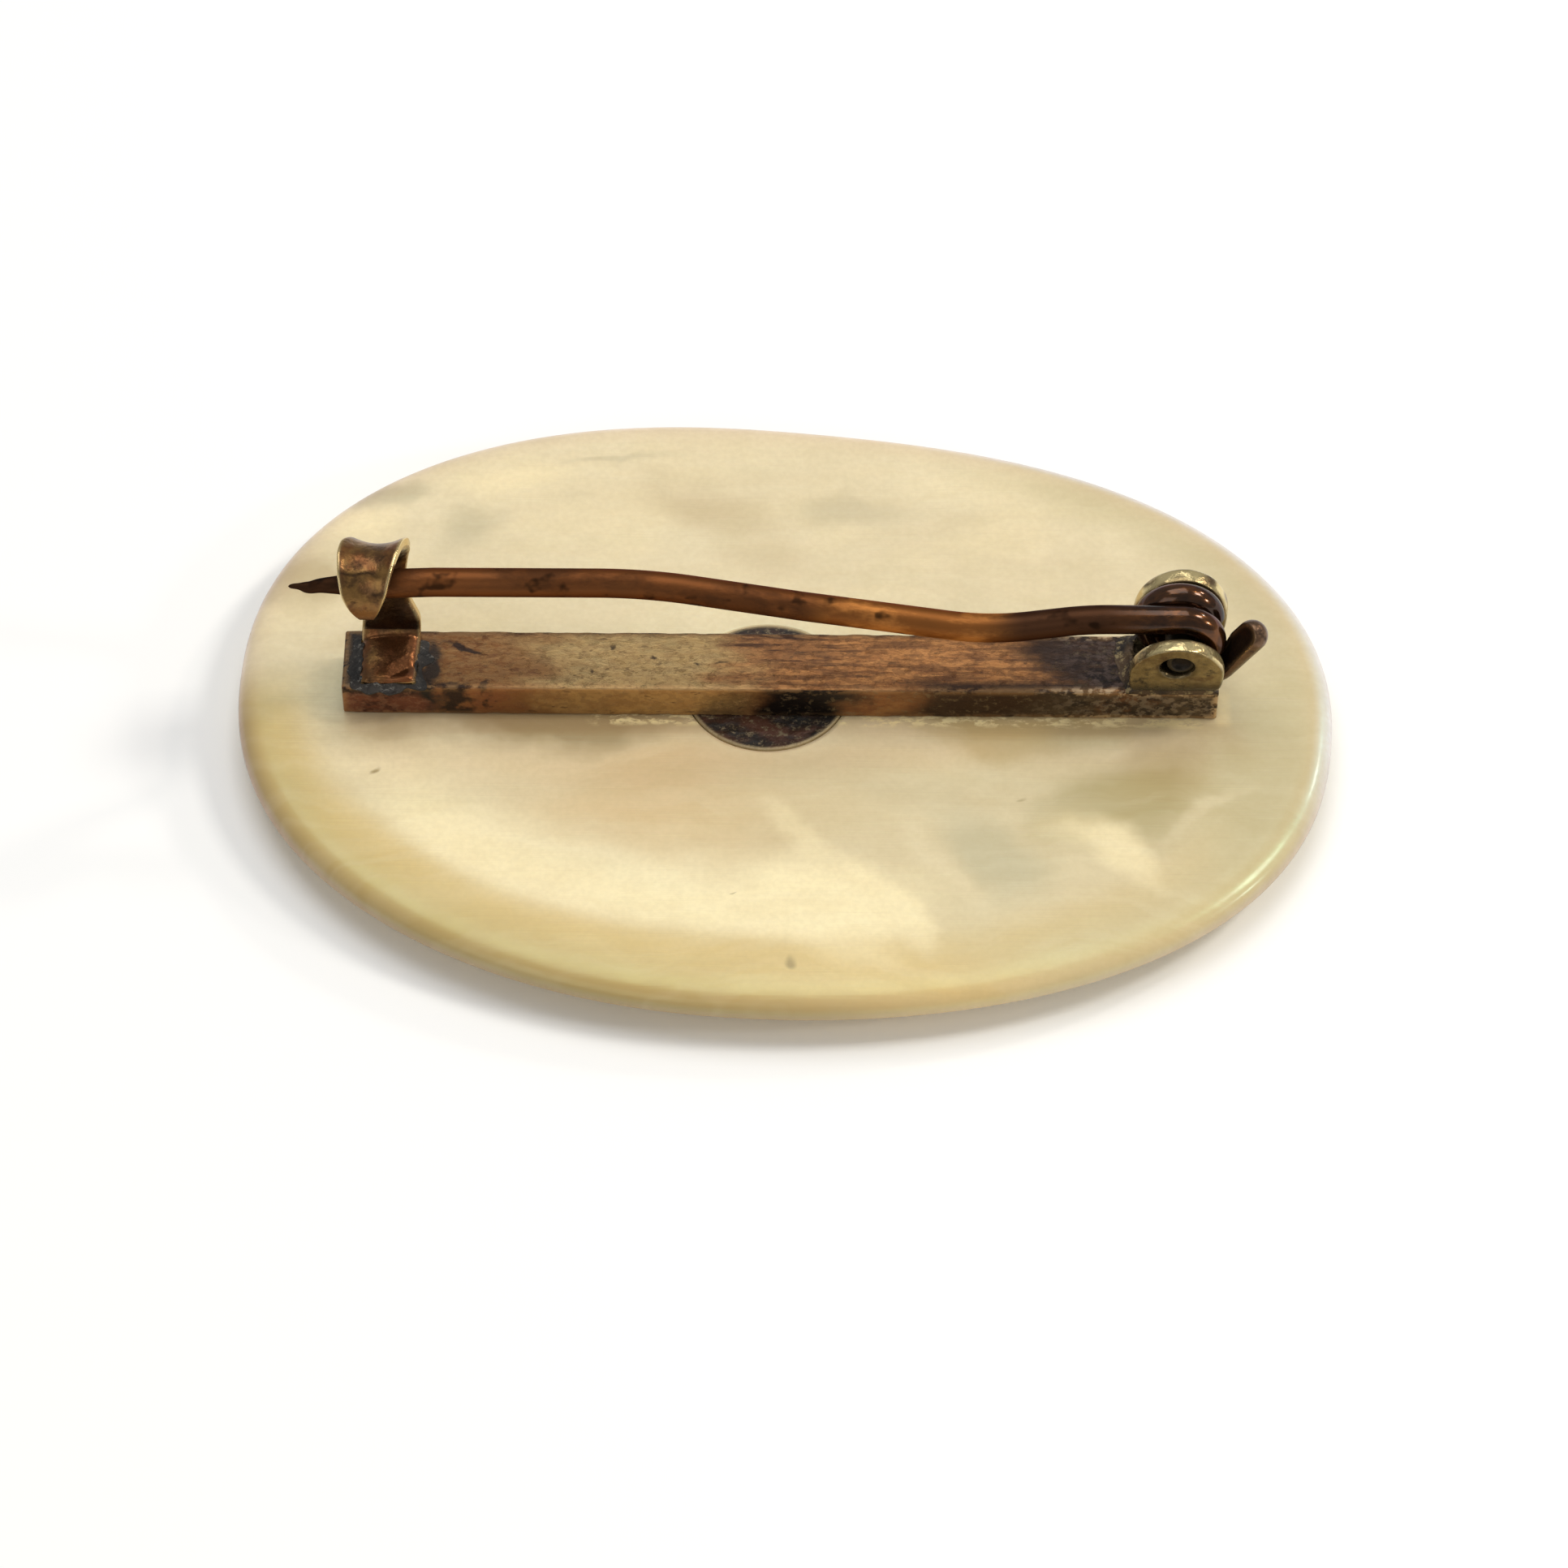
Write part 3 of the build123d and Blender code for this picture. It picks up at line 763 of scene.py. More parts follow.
@dataclass(frozen=True)
class BarBrass:
    """Old gilt brass bar, rolled and filed: brown along its length, black round the solder.

    Rolling draws the tarnish out into fine streaks, and filing leaves a matt face with worn
    edges. Oxide and dirt make it less metallic than bare brass.
    """

    name: str = "tarnished_rolled_brass"
    roughness: float = 0.42
    metallic: float = 0.7

    def material(self) -> bpy.types.Material:
        """Builds the material: the tarnish along the bar, its stains and its worn edges.

        Returns:
            The material.
        """
        s = Surface(self.name)
        flat = s.millimetres()
        x, y, z = s.add("ShaderNodeSeparateXYZ", {0: flat}).outputs
        edge = s.add("ShaderNodeAttribute", attribute_name="edge").outputs["Fac"]
        direction = {0: s.add("ShaderNodeTexCoord").outputs["Normal"]}
        toward = s.add("ShaderNodeSeparateXYZ", direction).outputs[1]
        bent = s.warp(flat, 1.6, (1.2, 0.7, 0.0))
        wander = s.noise(flat, (2.0, 0.6, 1.2), 0.25, 0.75, 5.0)
        streak = s.noise(flat, (1.1, 0.11, 0.12), 0.47, 0.6, 5.0, 0.66)
        hair = s.noise(flat, (0.3, 0.09, 0.09), 0.44, 0.6, 5.0, 0.75)
        speck = s.noise(flat, (0.3, 0.14, 0.14), 0.64, 0.7, 2.0)
        pits = s.noise(flat, (0.16, 0.11, 0.12), 0.54, 0.66, 5.0, 0.7)
        grit = s.noise(flat, (0.17, 0.13, 0.14), 0.46, 0.59, 3.0, 0.65)
        patch = s.noise(flat, (0.6, 0.28, 0.34), 0.44, 0.62, 5.0, 0.7)
        # The tarnish changes along the bar at places that wander by up to 2.6 mm. Near is the
        # long face at low Y.
        uneven = {0: wander, 1: 2.6, 2: x}
        along = s.add("ShaderNodeMath", uneven, operation="MULTIPLY_ADD").outputs[0]
        near = s.mask((toward, -0.5, -0.85))
        copper = s.mask((along, -6.2, -9.4))
        brown = s.mask((along, -1.7, 0.6))
        upper = s.mask(brown, (along, 5.0, 1.4), (y, 0.2, 1.1))
        right = s.mask((along, 9.4, 12.8))
        end = s.mask((along, -11.6, -12.8))
        layers = [
            (patch, 0.5, "#82704B"),
            (hair, 0.3, "#AE9669"),
            (near, 0.6, "#C4995E"),
            (copper, 0.95, "#6E4522"),
            (copper, patch, 0.7, "#5A3820"),
            (copper, grit, 0.5, "#8E6A40"),
            (copper, hair, 0.35, "#9C7645"),
            (brown, 0.95, "#A46E3E"),
            (brown, patch, 0.55, "#704526"),
            (brown, hair, 0.45, "#B8834D"),
            (brown, grit, 0.3, "#62391A"),
            (grit, 0.3, "#6B4D30"),
            (upper, 0.5, "#5A3B26"),
            (upper, streak, 0.95, "#2E1E17"),
            (streak, brown, 0.55, "#44291A"),
            (near, copper, 0.85, "#8E5A37"),
            (near, patch, 0.4, "#A27645"),
            (near, brown, 0.6, "#8C5B36"),
            (near, brown, patch, 0.7, "#A87848"),
            (near, (along, -1.0, 0.2), (along, 4.4, 2.6), "#241C18"),
            ((y, -0.15, -0.6), (along, 4.0, 6.6), 0.9, "#2A1E17"),
            (right, 0.6, "#35261B"),
            (near, right, 0.85, "#7D6A4F"),
            (right, streak, 0.7, "#1C1410"),
            (near, brown, pits, 0.55, "#8A7450"),
            (speck, 0.55, "#4A3522"),
            ((y, 1.62, 1.9), 0.75, "#33231A"),
            *[stain.layer(s, bent) for stain in BAR_STAINS],
            (right, hair, 0.3, "#553B27"),
            (right, pits, 0.7, "#75654E"),
            (right, patch, 0.75, "#161011"),
            (right, grit, 0.45, "#5C4C44"),
            (near, right, 0.35, "#2B201B"),
            (near, right, grit, 0.65, "#93816A"),
            (end, pits, 0.3, "#77726A"),
            (near, end, 0.9, "#7C4932"),
            (near, end, (z, 3.1, 3.5), 0.95, "#1E1B1A"),
            (near, end, patch, 0.7, "#341D15"),
            (near, end, grit, 0.35, "#A0755A"),
            (edge, (patch, 0.9, 0.1), 0.3, "#C79A66"),
            (edge, right, grit, 0.85, "#CDB08A"),
        ]
        dull = {"Value": pits, "To Min": self.roughness - 0.06, "To Max": self.roughness + 0.2}
        gloss = s.add("ShaderNodeMapRange", dull).outputs[0]
        bumps = [(hair, 0.002), (pits, 0.006), (patch, 0.004)]
        inputs = {"Metallic": self.metallic, "Roughness": gloss}
        return s.finish("#A08354", layers, bumps, inputs)


@dataclass(frozen=True)
class SheetBrass:
    """Sheet brass, cut and bent: olive brown tarnish, rubbed to gold along its edges, which are
    also painted brighter as highlights.

    Its faces are cloudy and soft in gloss, with darker dirt in blotches, painted shade where the
    mark shade is set, in hollows and on shaded faces, and a copper blush where the solder's heat
    reached. The field blotch is a blotch's width in mm on each axis.
    """

    name: str
    ground: str
    gold: str
    copper: str
    dark: str
    worn_and_glint: str
    blotch: tuple[float, float, float]
    roughness: float = 0.3
    metallic: float = 0.85

    def material(self) -> bpy.types.Material:
        """Builds the material: clouds of tarnish, dirt and heat, painted shade, and the edges, worn
        and painted bright as highlights.

        Returns:
            The material.
        """
        s = Surface(self.name)
        flat = s.millimetres()
        edge, warm, shade = (
            s.add("ShaderNodeAttribute", attribute_name=mark).outputs["Fac"]
            for mark in ("edge", "warm", "shade")
        )
        cloudy = s.noise(flat, self.blotch, 0.38, 0.62, 4.0)
        ruddy = s.noise(flat, tuple(1.7 * size for size in self.blotch), 0.5, 0.66)
        grime = s.noise(flat, (0.4, 0.34, 0.34), 0.53, 0.68, 5.0, 0.65)
        grain = s.noise(flat, (0.1, 0.1, 0.1), 0.35, 0.7, 2.0)
        layers = [
            (cloudy, 0.6, self.gold),
            (ruddy, 0.75, self.copper),
            (grime, 0.75, self.dark),
            (grain, 0.22, self.dark),
            (warm, 0.7, "#7E4C2C"),
            (warm, cloudy, 0.4, "#56331F"),
            # Painted shade where the mark shade is set, then the edges: worn metal with a painted
            # highlight.
            (shade, 0.85, self.dark),
            (edge, 0.85, self.worn_and_glint),
        ]
        dull = {"Value": grime, "To Min": self.roughness, "To Max": self.roughness + 0.25}
        rubbed = {"Value": edge, "To Min": 1.0, "To Max": 0.6}
        gloss = [s.add("ShaderNodeMapRange", share).outputs[0] for share in (dull, rubbed)]
        bumps = [(cloudy, 0.008), (ruddy, 0.008), (grain, 0.004)]
        inputs = {"Metallic": self.metallic, "Roughness": s.mask(*gloss)}
        return s.finish(self.ground, layers, bumps, inputs)


@dataclass(frozen=True)
class DrawnWire:
    """Copper-rich wire, drawn and hardened: brown tarnish, with a painted warm highlight along part
    of its length.

    Drawing leaves faint streaks along the wire, and the coil has been rubbed to a gloss. The
    patterns lie on the wire as it was before it was bent.
    """

    name: str = "brown_drawn_wire"
    roughness: float = 0.45
    metallic: float = 0.85

    def material(self) -> bpy.types.Material:
        """Builds the material: tarnish along the stem with a painted warm highlight, the darker
        coil and the black tip.

        Returns:
            The material.
        """
        s = Surface(self.name)
        flat = s.add("ShaderNodeAttribute", attribute_name="straight").outputs["Vector"]
        along = s.add("ShaderNodeSeparateXYZ", {0: flat}).outputs[0]
        drawn = s.noise(flat, (2.2, 0.45, 0.45), 0.4, 0.66, 4.0)
        bloom = s.noise(flat, (1.5, 0.6, 0.6), 0.46, 0.64, 5.0, 0.62)
        spots = s.noise(flat, (0.45, 0.35, 0.35), 0.6, 0.74, 2.0)
        mottle = s.noise(flat, (0.5, 0.4, 0.4), 0.46, 0.6, 5.0, 0.65)
        # A painted warm highlight on the stem, 19 to 27 mm from the point.
        warm = s.mask((along, 18.5, 21.0), (along, 27.0, 25.0))
        coil = s.mask((along, 29.5, 32.0))
        layers = [
            (drawn, 0.45, "#7C4A27"),
            (bloom, 0.6, "#422A1B"),
            (mottle, 0.25, "#7C4A27"),
            ((along, 24.4, 26.4), 0.85, "#3B281D"),
            (warm, 0.4, "#A0652F"),
            (warm, bloom, 0.8, "#C98646"),
            (spots, 0.8, "#1D120B"),
            (coil, 0.5, "#38220F"),
            (coil, bloom, 0.6, "#7C4A1F"),
            (coil, mottle, 0.65, "#24160E"),
            ((along, 4.0, 2.4), 0.8, "#1F1712"),
        ]
        dull = {"Value": bloom, "To Min": self.roughness, "To Max": self.roughness + 0.16}
        rubbed = {"Value": coil, "To Min": 1.0, "To Max": 0.36}
        gloss = [s.add("ShaderNodeMapRange", share).outputs[0] for share in (dull, rubbed)]
        inputs = {
            "Metallic": self.metallic,
            "Roughness": s.mask(*gloss),
            "Specular Tint": linear("#9E7855"),
            "Coat Weight": s.mask(coil, 0.5),
            "Coat Roughness": 0.09,
        }
        return s.finish("#663F24", layers, [(drawn, 0.002), (bloom, 0.012)], inputs)


@dataclass(frozen=True)
class Grime:
    """Old solder and dirt: nearly black, grainy, with bright metal grains showing through.

    Lead oxide and dust make it dull and only partly metallic. The share is the noise level from
    which grains show.
    """

    name: str
    ground: str
    patch: str
    grains: str
    share: float
    roughness: float = 0.55
    metallic: float = 0.35

    def material(self) -> bpy.types.Material:
        """Builds the material: patches, grains and a pale rim where the mark edge is set, painted
        as a highlight.

        Returns:
            The material.
        """
        s = Surface(self.name)
        flat = s.millimetres()
        edge = s.add("ShaderNodeAttribute", attribute_name="edge").outputs["Fac"]
        cloudy = s.noise(flat, (0.8, 0.6, 0.6), 0.4, 0.65, 4.0)
        grain = s.noise(flat, (0.18, 0.13, 0.14), self.share, self.share + 0.1, 6.0, 0.75)
        crust = s.noise(flat, (0.3, 0.3, 0.3), 0.3, 0.7, 4.0)
        layers = [(cloudy, self.patch), (grain, self.grains), (edge, 0.75, "#B9A47A")]
        inputs = {"Metallic": self.metallic, "Roughness": self.roughness}
        return s.finish(self.ground, layers, [(crust, 0.04)], inputs)


CATCH_BRASS = SheetBrass(
    name="olive_bent_sheet_brass",
    ground="#63462A",
    gold="#A07A44",
    copper="#7A4A28",
    dark="#26180F",
    worn_and_glint="#EBD49A",
    blotch=(0.36, 0.42, 0.42),
)
EAR_BRASS = SheetBrass(
    name="olive_cut_sheet_brass",
    ground="#85734F",
    gold="#A8946A",
    copper="#604830",
    dark="#241C14",
    worn_and_glint="#E2CF98",
    blotch=(0.3, 0.24, 0.28),
    roughness=0.27,
)
PRONG_BRASS = SheetBrass(
    name="brown_bent_brass",
    ground="#5A4232",
    gold="#7E634A",
    copper="#5A3525",
    dark="#191210",
    worn_and_glint="#C9A673",
    blotch=(0.5, 0.5, 0.5),
    roughness=0.32,
)
# Nearly black: dark tarnish, darkened further as painted shade where the rivet's ends sit in the
# ears' holes.
RIVET_BRASS = SheetBrass(
    name="dark_turned_brass",
    ground="#221D19",
    gold="#3A342E",
    copper="#2A2018",
    dark="#0C0A08",
    worn_and_glint="#8A7B5A",
    blotch=(0.3, 0.3, 0.3),
    roughness=0.45,
)
DISC_GRIME = Grime(
    name="blackened_brass_disc",
    ground="#1B1713",
    patch="#4A2A19",
    grains="#6E6048",
    share=0.52,
)
SOLDER_GRIME = Grime(
    name="blackened_solder",
    ground="#1F1D1B",
    patch="#312C27",
    grains="#6F6B64",
    share=0.54,
)
JOINT_GRIME = Grime(
    name="brown_grime",
    ground="#241B14",
    patch="#5A4630",
    grains="#96835C",
    share=0.52,
)


# Pieces


@dataclass
class ShellPlaque:
    """The oval of mother of pearl, with its bevelled front, soft back edge and disc seat."""

    long_radius: float = 20.165
    short_radius: float = 13.966
    squareness: float = 2.22
    turn: float = -4.7
    unevenness: float = 0.015
    phase: float = 102.0
    bevel_width: float = 3.2
    bevel_height: float = 1.35
    bevel_power: float = 0.62
    edge_width: float = 1.3
    edge_height: float = 0.8
    edge_power: float = 0.8
    seat_radius: float = 3.05
    seat_depth: float = 0.36
    swell: float = 0.03
    swell_width: float = 13.0
    level_by_bar: tuple[float, float] = (2.2, 5.0)
    columns: int = 288
    finish: PolishedNacre = PolishedNacre()

    def oval(self, step: np.ndarray | float) -> np.ndarray:
        """Outline at even polar angles: a superellipse times one plus a threefold cosine.

        Args:
            step: What both radii lose, one value or a column with one for each row.

        Returns:
            Columns by two, or rows by columns by two, turned about the middle.
        """
        angle, power = around(self.columns), self.squareness
        reach = np.abs(np.cos(angle) / (self.long_radius - step)) ** power
        reach = reach + np.abs(np.sin(angle) / (self.short_radius - step)) ** power
        uneven = 1 + self.unevenness * np.cos(3 * (angle + math.radians(self.phase)))
        radius = uneven * reach ** (-1 / power)
        angle = angle + math.radians(self.turn)
        return np.stack([radius * np.cos(angle), radius * np.sin(angle)], -1)

    def rim(self, inset: np.ndarray | float) -> np.ndarray:
        """Outline moved in from the rim, with the middle of the rim's box at the origin.

        Args:
            inset: Distance moved in, one value or one for each row.

        Returns:
            Rows by columns by two.
        """
        outline = self.oval(0.0)
        middle = (outline.min(0) + outline.max(0)) / 2
        return self.oval(np.atleast_1d(inset)[:, None]) - middle

    def rows(self, thickness: float) -> tuple[np.ndarray, np.ndarray]:
        """Rows from the middle of the front, round the edge, to the middle of the seat.

        The front bevel's height is a sine and its inset one less a power of that sine. The back
        edge is a quarter of a superellipse. The back is ruled from its edge to the seat's circle.

        Args:
            thickness: Thickness of the shell in mm.

        Returns:
            Points and the share of the way from the back's edge to the seat.
        """
        angle = around(self.columns) + math.radians(self.turn)
        circle = self.seat_radius * np.stack([np.cos(angle), np.sin(angle)], -1)[None]
        front = np.linspace(0.06, 0.96, 14)[:, None, None] * self.rim(self.bevel_width)
        t = np.linspace(0, math.pi / 2, 18)
        bevel = self.rim(self.bevel_width * (1 - np.sin(t) ** self.bevel_power))
        edge = self.rim(self.edge_width * (1 - np.cos(t) ** self.edge_power))
        share = np.linspace(0, 1, 92)[1:, None, None]
        back = (1 - share) * self.rim(self.edge_width) + share * (DISC_MIDDLE + circle)
        floor = DISC_MIDDLE + np.array([1.0, 0.7, 0.35])[:, None, None] * circle
        flat = np.concatenate([front, bevel, edge, back, floor])
        height = [
            np.zeros(len(front)),
            self.bevel_height * np.sin(t),
            thickness - self.edge_height * (1 - np.sin(t) ** self.edge_power),
            np.full(len(back), thickness),
            np.full(len(floor), thickness - self.seat_depth),
        ]
        before_back = np.zeros(len(front) + 2 * len(t))
        on_back = np.concatenate([before_back, share[:, 0, 0], np.ones(len(floor))])
        points = np.empty((*flat.shape[:2], 3))
        points[..., :2] = flat
        points[..., 2] = np.concatenate(height)[:, None]
        return points, on_back

    def build(self) -> None:
        """Builds the shell, with a shallow swell in its hand-finished back, level at the bar."""
        points, on_back = self.rows(frame_box("shell_plaque")[1, 2])
        beside_bar = ease(*self.level_by_bar, np.abs(points[..., 1] - DISC_MIDDLE[1]))
        away = (ease(0, 0.25, on_back) * ease(1.0, 0.6, on_back))[:, None] * beside_bar
        points[..., 2] -= self.swell * away * (1 + ripple(points, self.swell_width, 5)) / 2
        inset = np.linalg.norm(points[..., :2] - self.rim(0.0), axis=-1)
        grid = Grid(points, {"inset": inset})
        material = self.finish.material()
        make_piece("shell", [grid], material, node="shell_plaque")


@dataclass
class BackBar:
    """The long square-edged bar and the disc under its middle."""

    low: tuple[float, float, float] = (-16.17, -0.84, 2.2)
    high: tuple[float, float, float] = (BAR_RIGHT, 1.94, BAR_TOP)
    edge: float = 0.09
    wear: float = 0.02
    disc_radius: float = 3.0
    disc_top: float = 2.26
    disc_thickness: float = 0.42
    disc_edge: float = 0.07
    disc_grain: float = 0.012
    finish: BarBrass = BarBrass()
    disc_finish: Grime = DISC_GRIME

    def build_bar(self) -> None:
        """Builds the bar, its faces and edges worn by a ripple that only takes metal away."""
        low, high = np.array(self.low), np.array(self.high)
        grid = rounded_block(low, high, self.edge, 420, 22)
        worn_edge = grid.marks["edge"] * ease(0.2, 0.8, ripple(grid.points, 1.1, 12))
        depth = self.wear * (0.6 + 0.4 * ripple(grid.points, 1.3, 11) + 0.7 * worn_edge)
        inward = ((grid.points - (low + high) / 2) / ((high - low) / 2))[..., 1:]
        grid.points[..., 1:] -= depth[..., None] * np.abs(inward) ** 6 * np.sign(inward)
        make_piece("bar", [grid], self.finish.material())

    def build_disc(self) -> None:
        """Builds the disc: a profile of quarter circles turned about its middle."""
        t = np.linspace(0, math.pi / 2, 6)
        edge, full = self.disc_edge, self.disc_radius
        low, top = self.disc_top - self.disc_thickness, self.disc_top
        face = np.linspace(0.03, 1, 40)[:-1] * (full - edge)
        sin, cos = edge * np.sin(t), edge * np.cos(t)
        rounding = full - edge
        radius = np.concatenate([face, rounding + sin, rounding + cos, face[::-1]])
        lower, upper = np.full(len(face), low), np.full(len(face), top)
        height = np.concatenate([lower, low + edge - cos, top - edge + sin, upper])
        points = turned(DISC_MIDDLE, radius, height, 160)
        inside = (ease(full, full - 0.4, radius) * (height > (low + top) / 2))[:, None]
        points[..., 2] += self.disc_grain * inside * (ripple(points, 0.5, 21) - 1)
        # The mark edge paints a pale highlight round the disc's rim.
        grid = Grid(points, {"edge": 1 - ease(0.0, 0.16, full - radius)[:, None]})
        make_piece("disc", [grid], self.disc_finish.material())

    def build(self) -> None:
        """Builds the bar and the disc."""
        self.build_bar()
        self.build_disc()


class Stage(Enum):
    """The stretches of the catch's strip, from its foot on the bar to its lip."""

    FOOT = 0
    NECK = 1
    HOOK = 2


@dataclass(frozen=True)
class StripRow:
    """Edges of the catch's strip at one place, in mm from the catch's middle.

    The place is a share of the foot or of the neck, or an angle round the hook. The flare is how
    far the edges curl outwards.
    """

    stage: Stage
    place: float
    left: float
    right: float
    flare: float


STRIP_ROWS = (
    StripRow(Stage.FOOT, 0.0, -0.92, 1.12, 0.0),
    StripRow(Stage.FOOT, 0.12, -1.02, 1.14, 0.0),
    StripRow(Stage.FOOT, 1.0, -0.98, 1.2, 0.0),
    StripRow(Stage.NECK, 0.1, -0.9, 1.22, 0.04),
    StripRow(Stage.NECK, 0.35, -0.82, 0.88, 0.18),
    StripRow(Stage.NECK, 0.7, -0.8, 0.72, 0.24),
    StripRow(Stage.NECK, 1.0, -0.82, 0.86, 0.24),
    StripRow(Stage.HOOK, 20.0, -0.96, 0.98, 0.24),
    StripRow(Stage.HOOK, 42.0, -1.2, 0.94, 0.28),
    StripRow(Stage.HOOK, 62.0, -1.46, 0.8, 0.3),
    StripRow(Stage.HOOK, 90.0, -1.55, 0.64, 0.28),
    StripRow(Stage.HOOK, 120.0, -1.51, 0.43, 0.22),
    StripRow(Stage.HOOK, 150.0, -1.38, 0.24, 0.13),
    StripRow(Stage.HOOK, 175.0, -1.1, 0.0, 0.05),
    StripRow(Stage.HOOK, 195.0, -0.8, -0.22, 0.0),
    StripRow(Stage.HOOK, 200.0, -0.68, -0.3, 0.0),
)


def solder_ring(middle: np.ndarray, half: tuple[float, float], rise: float, seed: int) -> Grid:
    """Hollow fillet of solder on the bar round a squarish foot, thinning to an uneven toe.

    The outline is a superellipse. From it the fillet falls as the square of what is left of its
    width, and its underside lies a little below the bar's top.

    Args:
        middle: Middle of the foot in mm.
        half: Half sizes of the foot.
        rise: Height of the fillet at the foot.
        seed: Seed of its unevenness.

    Returns:
        Closed ring.
    """
    columns, width = 220, 0.42
    angle = around(columns)
    reach = np.abs(np.cos(angle) / half[0]) ** 6 + np.abs(np.sin(angle) / half[1]) ** 6
    reach = reach ** (-1 / 6)
    round_place = np.stack([np.cos(angle), np.sin(angle), 0 * angle], -1) * 2
    spread = width * (1 + 0.45 * ripple(round_place, 1.1, seed))
    slope = np.linspace(0, 1, 16)
    out = np.concatenate([[-0.3, -0.2, -0.1], slope, [1.0, 0.4, -0.3]])
    fall = np.concatenate([np.ones(3), (1 - slope) ** 2, [-0.25, -0.3, -0.3]])
    points = turned(middle, reach + out[:, None] * spread, BAR_TOP + rise * fall, columns)
    lumps = (fall > 0)[:, None] * 0.25 * rise * ripple(points, 0.35, seed + 1)
    points[..., 2] += lumps * fall[:, None]
    return Grid(points, {"edge": 0.0}, wrap_rows=True)


@dataclass
class Catch:
    """Foot, neck, hook and lip of the catch: one strip bent to a C, with solder at its foot."""

    hook_radius: float = 1.225
    wall: float = 0.45
    corner: float = 0.12
    start_y: float = -0.78
    bend_radius: float = 0.45
    lean: float = 6.0
    shoulder_depth: float = 0.24
    shoulder_width: float = 0.42
    fold_slope: float = 0.2
    tilt_depth: float = 0.12
    dent_depth: float = 0.015
    crease: float = 120.0
    crease_width: float = 0.07
    solder_offset: tuple[float, float] = (0.06, 1.05)
    solder_half: tuple[float, float] = (1.02, 1.0)
    solder_rise: float = 0.2
    stations: int = 260
    finish: SheetBrass = CATCH_BRASS
    solder_finish: Grime = SOLDER_GRIME

    def line(self) -> tuple[np.ndarray, np.ndarray, dict[Stage, tuple[float, float]]]:
        """Middle line of the strip in the YZ plane: a run, an arc, a run and the hook's arc.

        Returns:
            Places, directions and, for each stage, the length where it starts and its length for
            one unit of a row's place.
        """
        lean = math.radians(self.lean)
        hook_middle = np.array([HOOK_Y, HOOK_Z])
        top = hook_middle + self.hook_radius * np.array([math.cos(lean), -math.sin(lean)])
        floor = BAR_TOP + self.wall / 2
        bend_turn = math.pi / 2 - lean
        corner_y = top[0] - (top[1] - floor) * math.tan(lean)
        foot_end = corner_y - self.bend_radius * math.tan(bend_turn / 2)
        foot = np.stack([np.linspace(self.start_y, foot_end, 40), np.full(40, floor)], -1)
        t = np.linspace(0, bend_turn, 24)
        bend = np.stack([np.sin(t), 1 - np.cos(t)], -1) * self.bend_radius + (foot_end, floor)
        share = np.linspace(0, 1, 60)[:, None]
        neck = (1 - share) * bend[-1] + share * top
        angle = np.radians(np.linspace(-self.lean, STRIP_ROWS[-1].place, 150))
        hook = hook_middle + np.stack([np.cos(angle), np.sin(angle)], -1) * self.hook_radius
        places = np.concatenate([foot, bend[1:], neck[1:], hook[1:]])
        flat = np.concatenate([np.zeros((len(places), 1)), places], 1)
        places = even_steps(flat, self.stations)[:, 1:]
        foot_length = foot_end - self.start_y
        neck_start = foot_length + self.bend_radius * bend_turn
        neck_length = float(np.linalg.norm(top - bend[-1]))
        per_degree = self.hook_radius * math.radians(1)
        starts = {
            Stage.FOOT: (0.0, foot_length),
            Stage.NECK: (neck_start, neck_length),
            Stage.HOOK: (neck_start + neck_length + self.lean * per_degree, per_degree),
        }
        return places, unit(np.gradient(places, axis=0)), starts

    def build_strip(self) -> None:
        """Builds the strip: a rounded outline carried along its line, its edges curled outwards.

        The curl grows with the square of the distance from the strip's middle. The foot sinks
        along its edges, folds down at its near right corner, tilts and is dented by ripples. The
        ends are closed by moving the outline in by a quarter circle.
        """
        places, direction, starts = self.line()
        along = running_length(places)
        at = [starts[row.stage][0] + row.place * starts[row.stage][1] for row in STRIP_ROWS]
        left = soften(np.interp(along, at, [row.left for row in STRIP_ROWS]), 6)
        right = soften(np.interp(along, at, [row.right for row in STRIP_ROWS]), 6)
        flare = soften(np.interp(along, at, [row.flare for row in STRIP_ROWS]), 8)
        end_gap = np.clip(np.minimum(along, along[-1] - along) / self.corner, 0, 1)
        closing = self.corner * (1 - np.sqrt(1 - (1 - end_gap) ** 2))
        loop = rounded_loop(2.0, self.wall, self.corner, 30, 5)
        share = np.clip(loop[:, 0], -1, 1)
        half = (right - left) / 2 - closing
        thick = loop[:, 1] * ((self.wall / 2 - closing) / (self.wall / 2))[:, None]
        thick = thick + flare[:, None] * share**2
        outward = np.stack([direction[:, 1], -direction[:, 0]], -1)
        x = (left + right)[:, None] / 2 + half[:, None] * share
        points = np.empty((*x.shape, 3))
        points[..., 0] = HOOK_X + x
        points[..., 1:] = places[:, None] + thick[..., None] * outward[:, None]

        foot_end = starts[Stage.FOOT][1]
        on_foot = ease(foot_end + 0.5, foot_end - 0.1, along)[:, None] * ease(0.1, -0.1, loop[:, 1])
        beside = np.minimum(right[:, None] - x, x - left[:, None])
        beside = np.clip(np.minimum(beside, 0.2 + along[:, None]) / self.shoulder_width, 0, 1)
        # How far a place lies over the fold, which cuts off the foot's near right corner.
        to_corner = 0.75 * x - points[..., 1] - 0.2
        dent = self.shoulder_depth * (1 - beside) ** 2
        dent += self.fold_slope * np.clip(to_corner, 0, 0.6) * ease(1.1, 0.5, to_corner)
        dent += self.tilt_depth * ease(0.2, -1.0, x)
        dent += self.dent_depth * (1 + ripple(points, 1.3, 31))
        points[..., 2] -= on_foot * dent
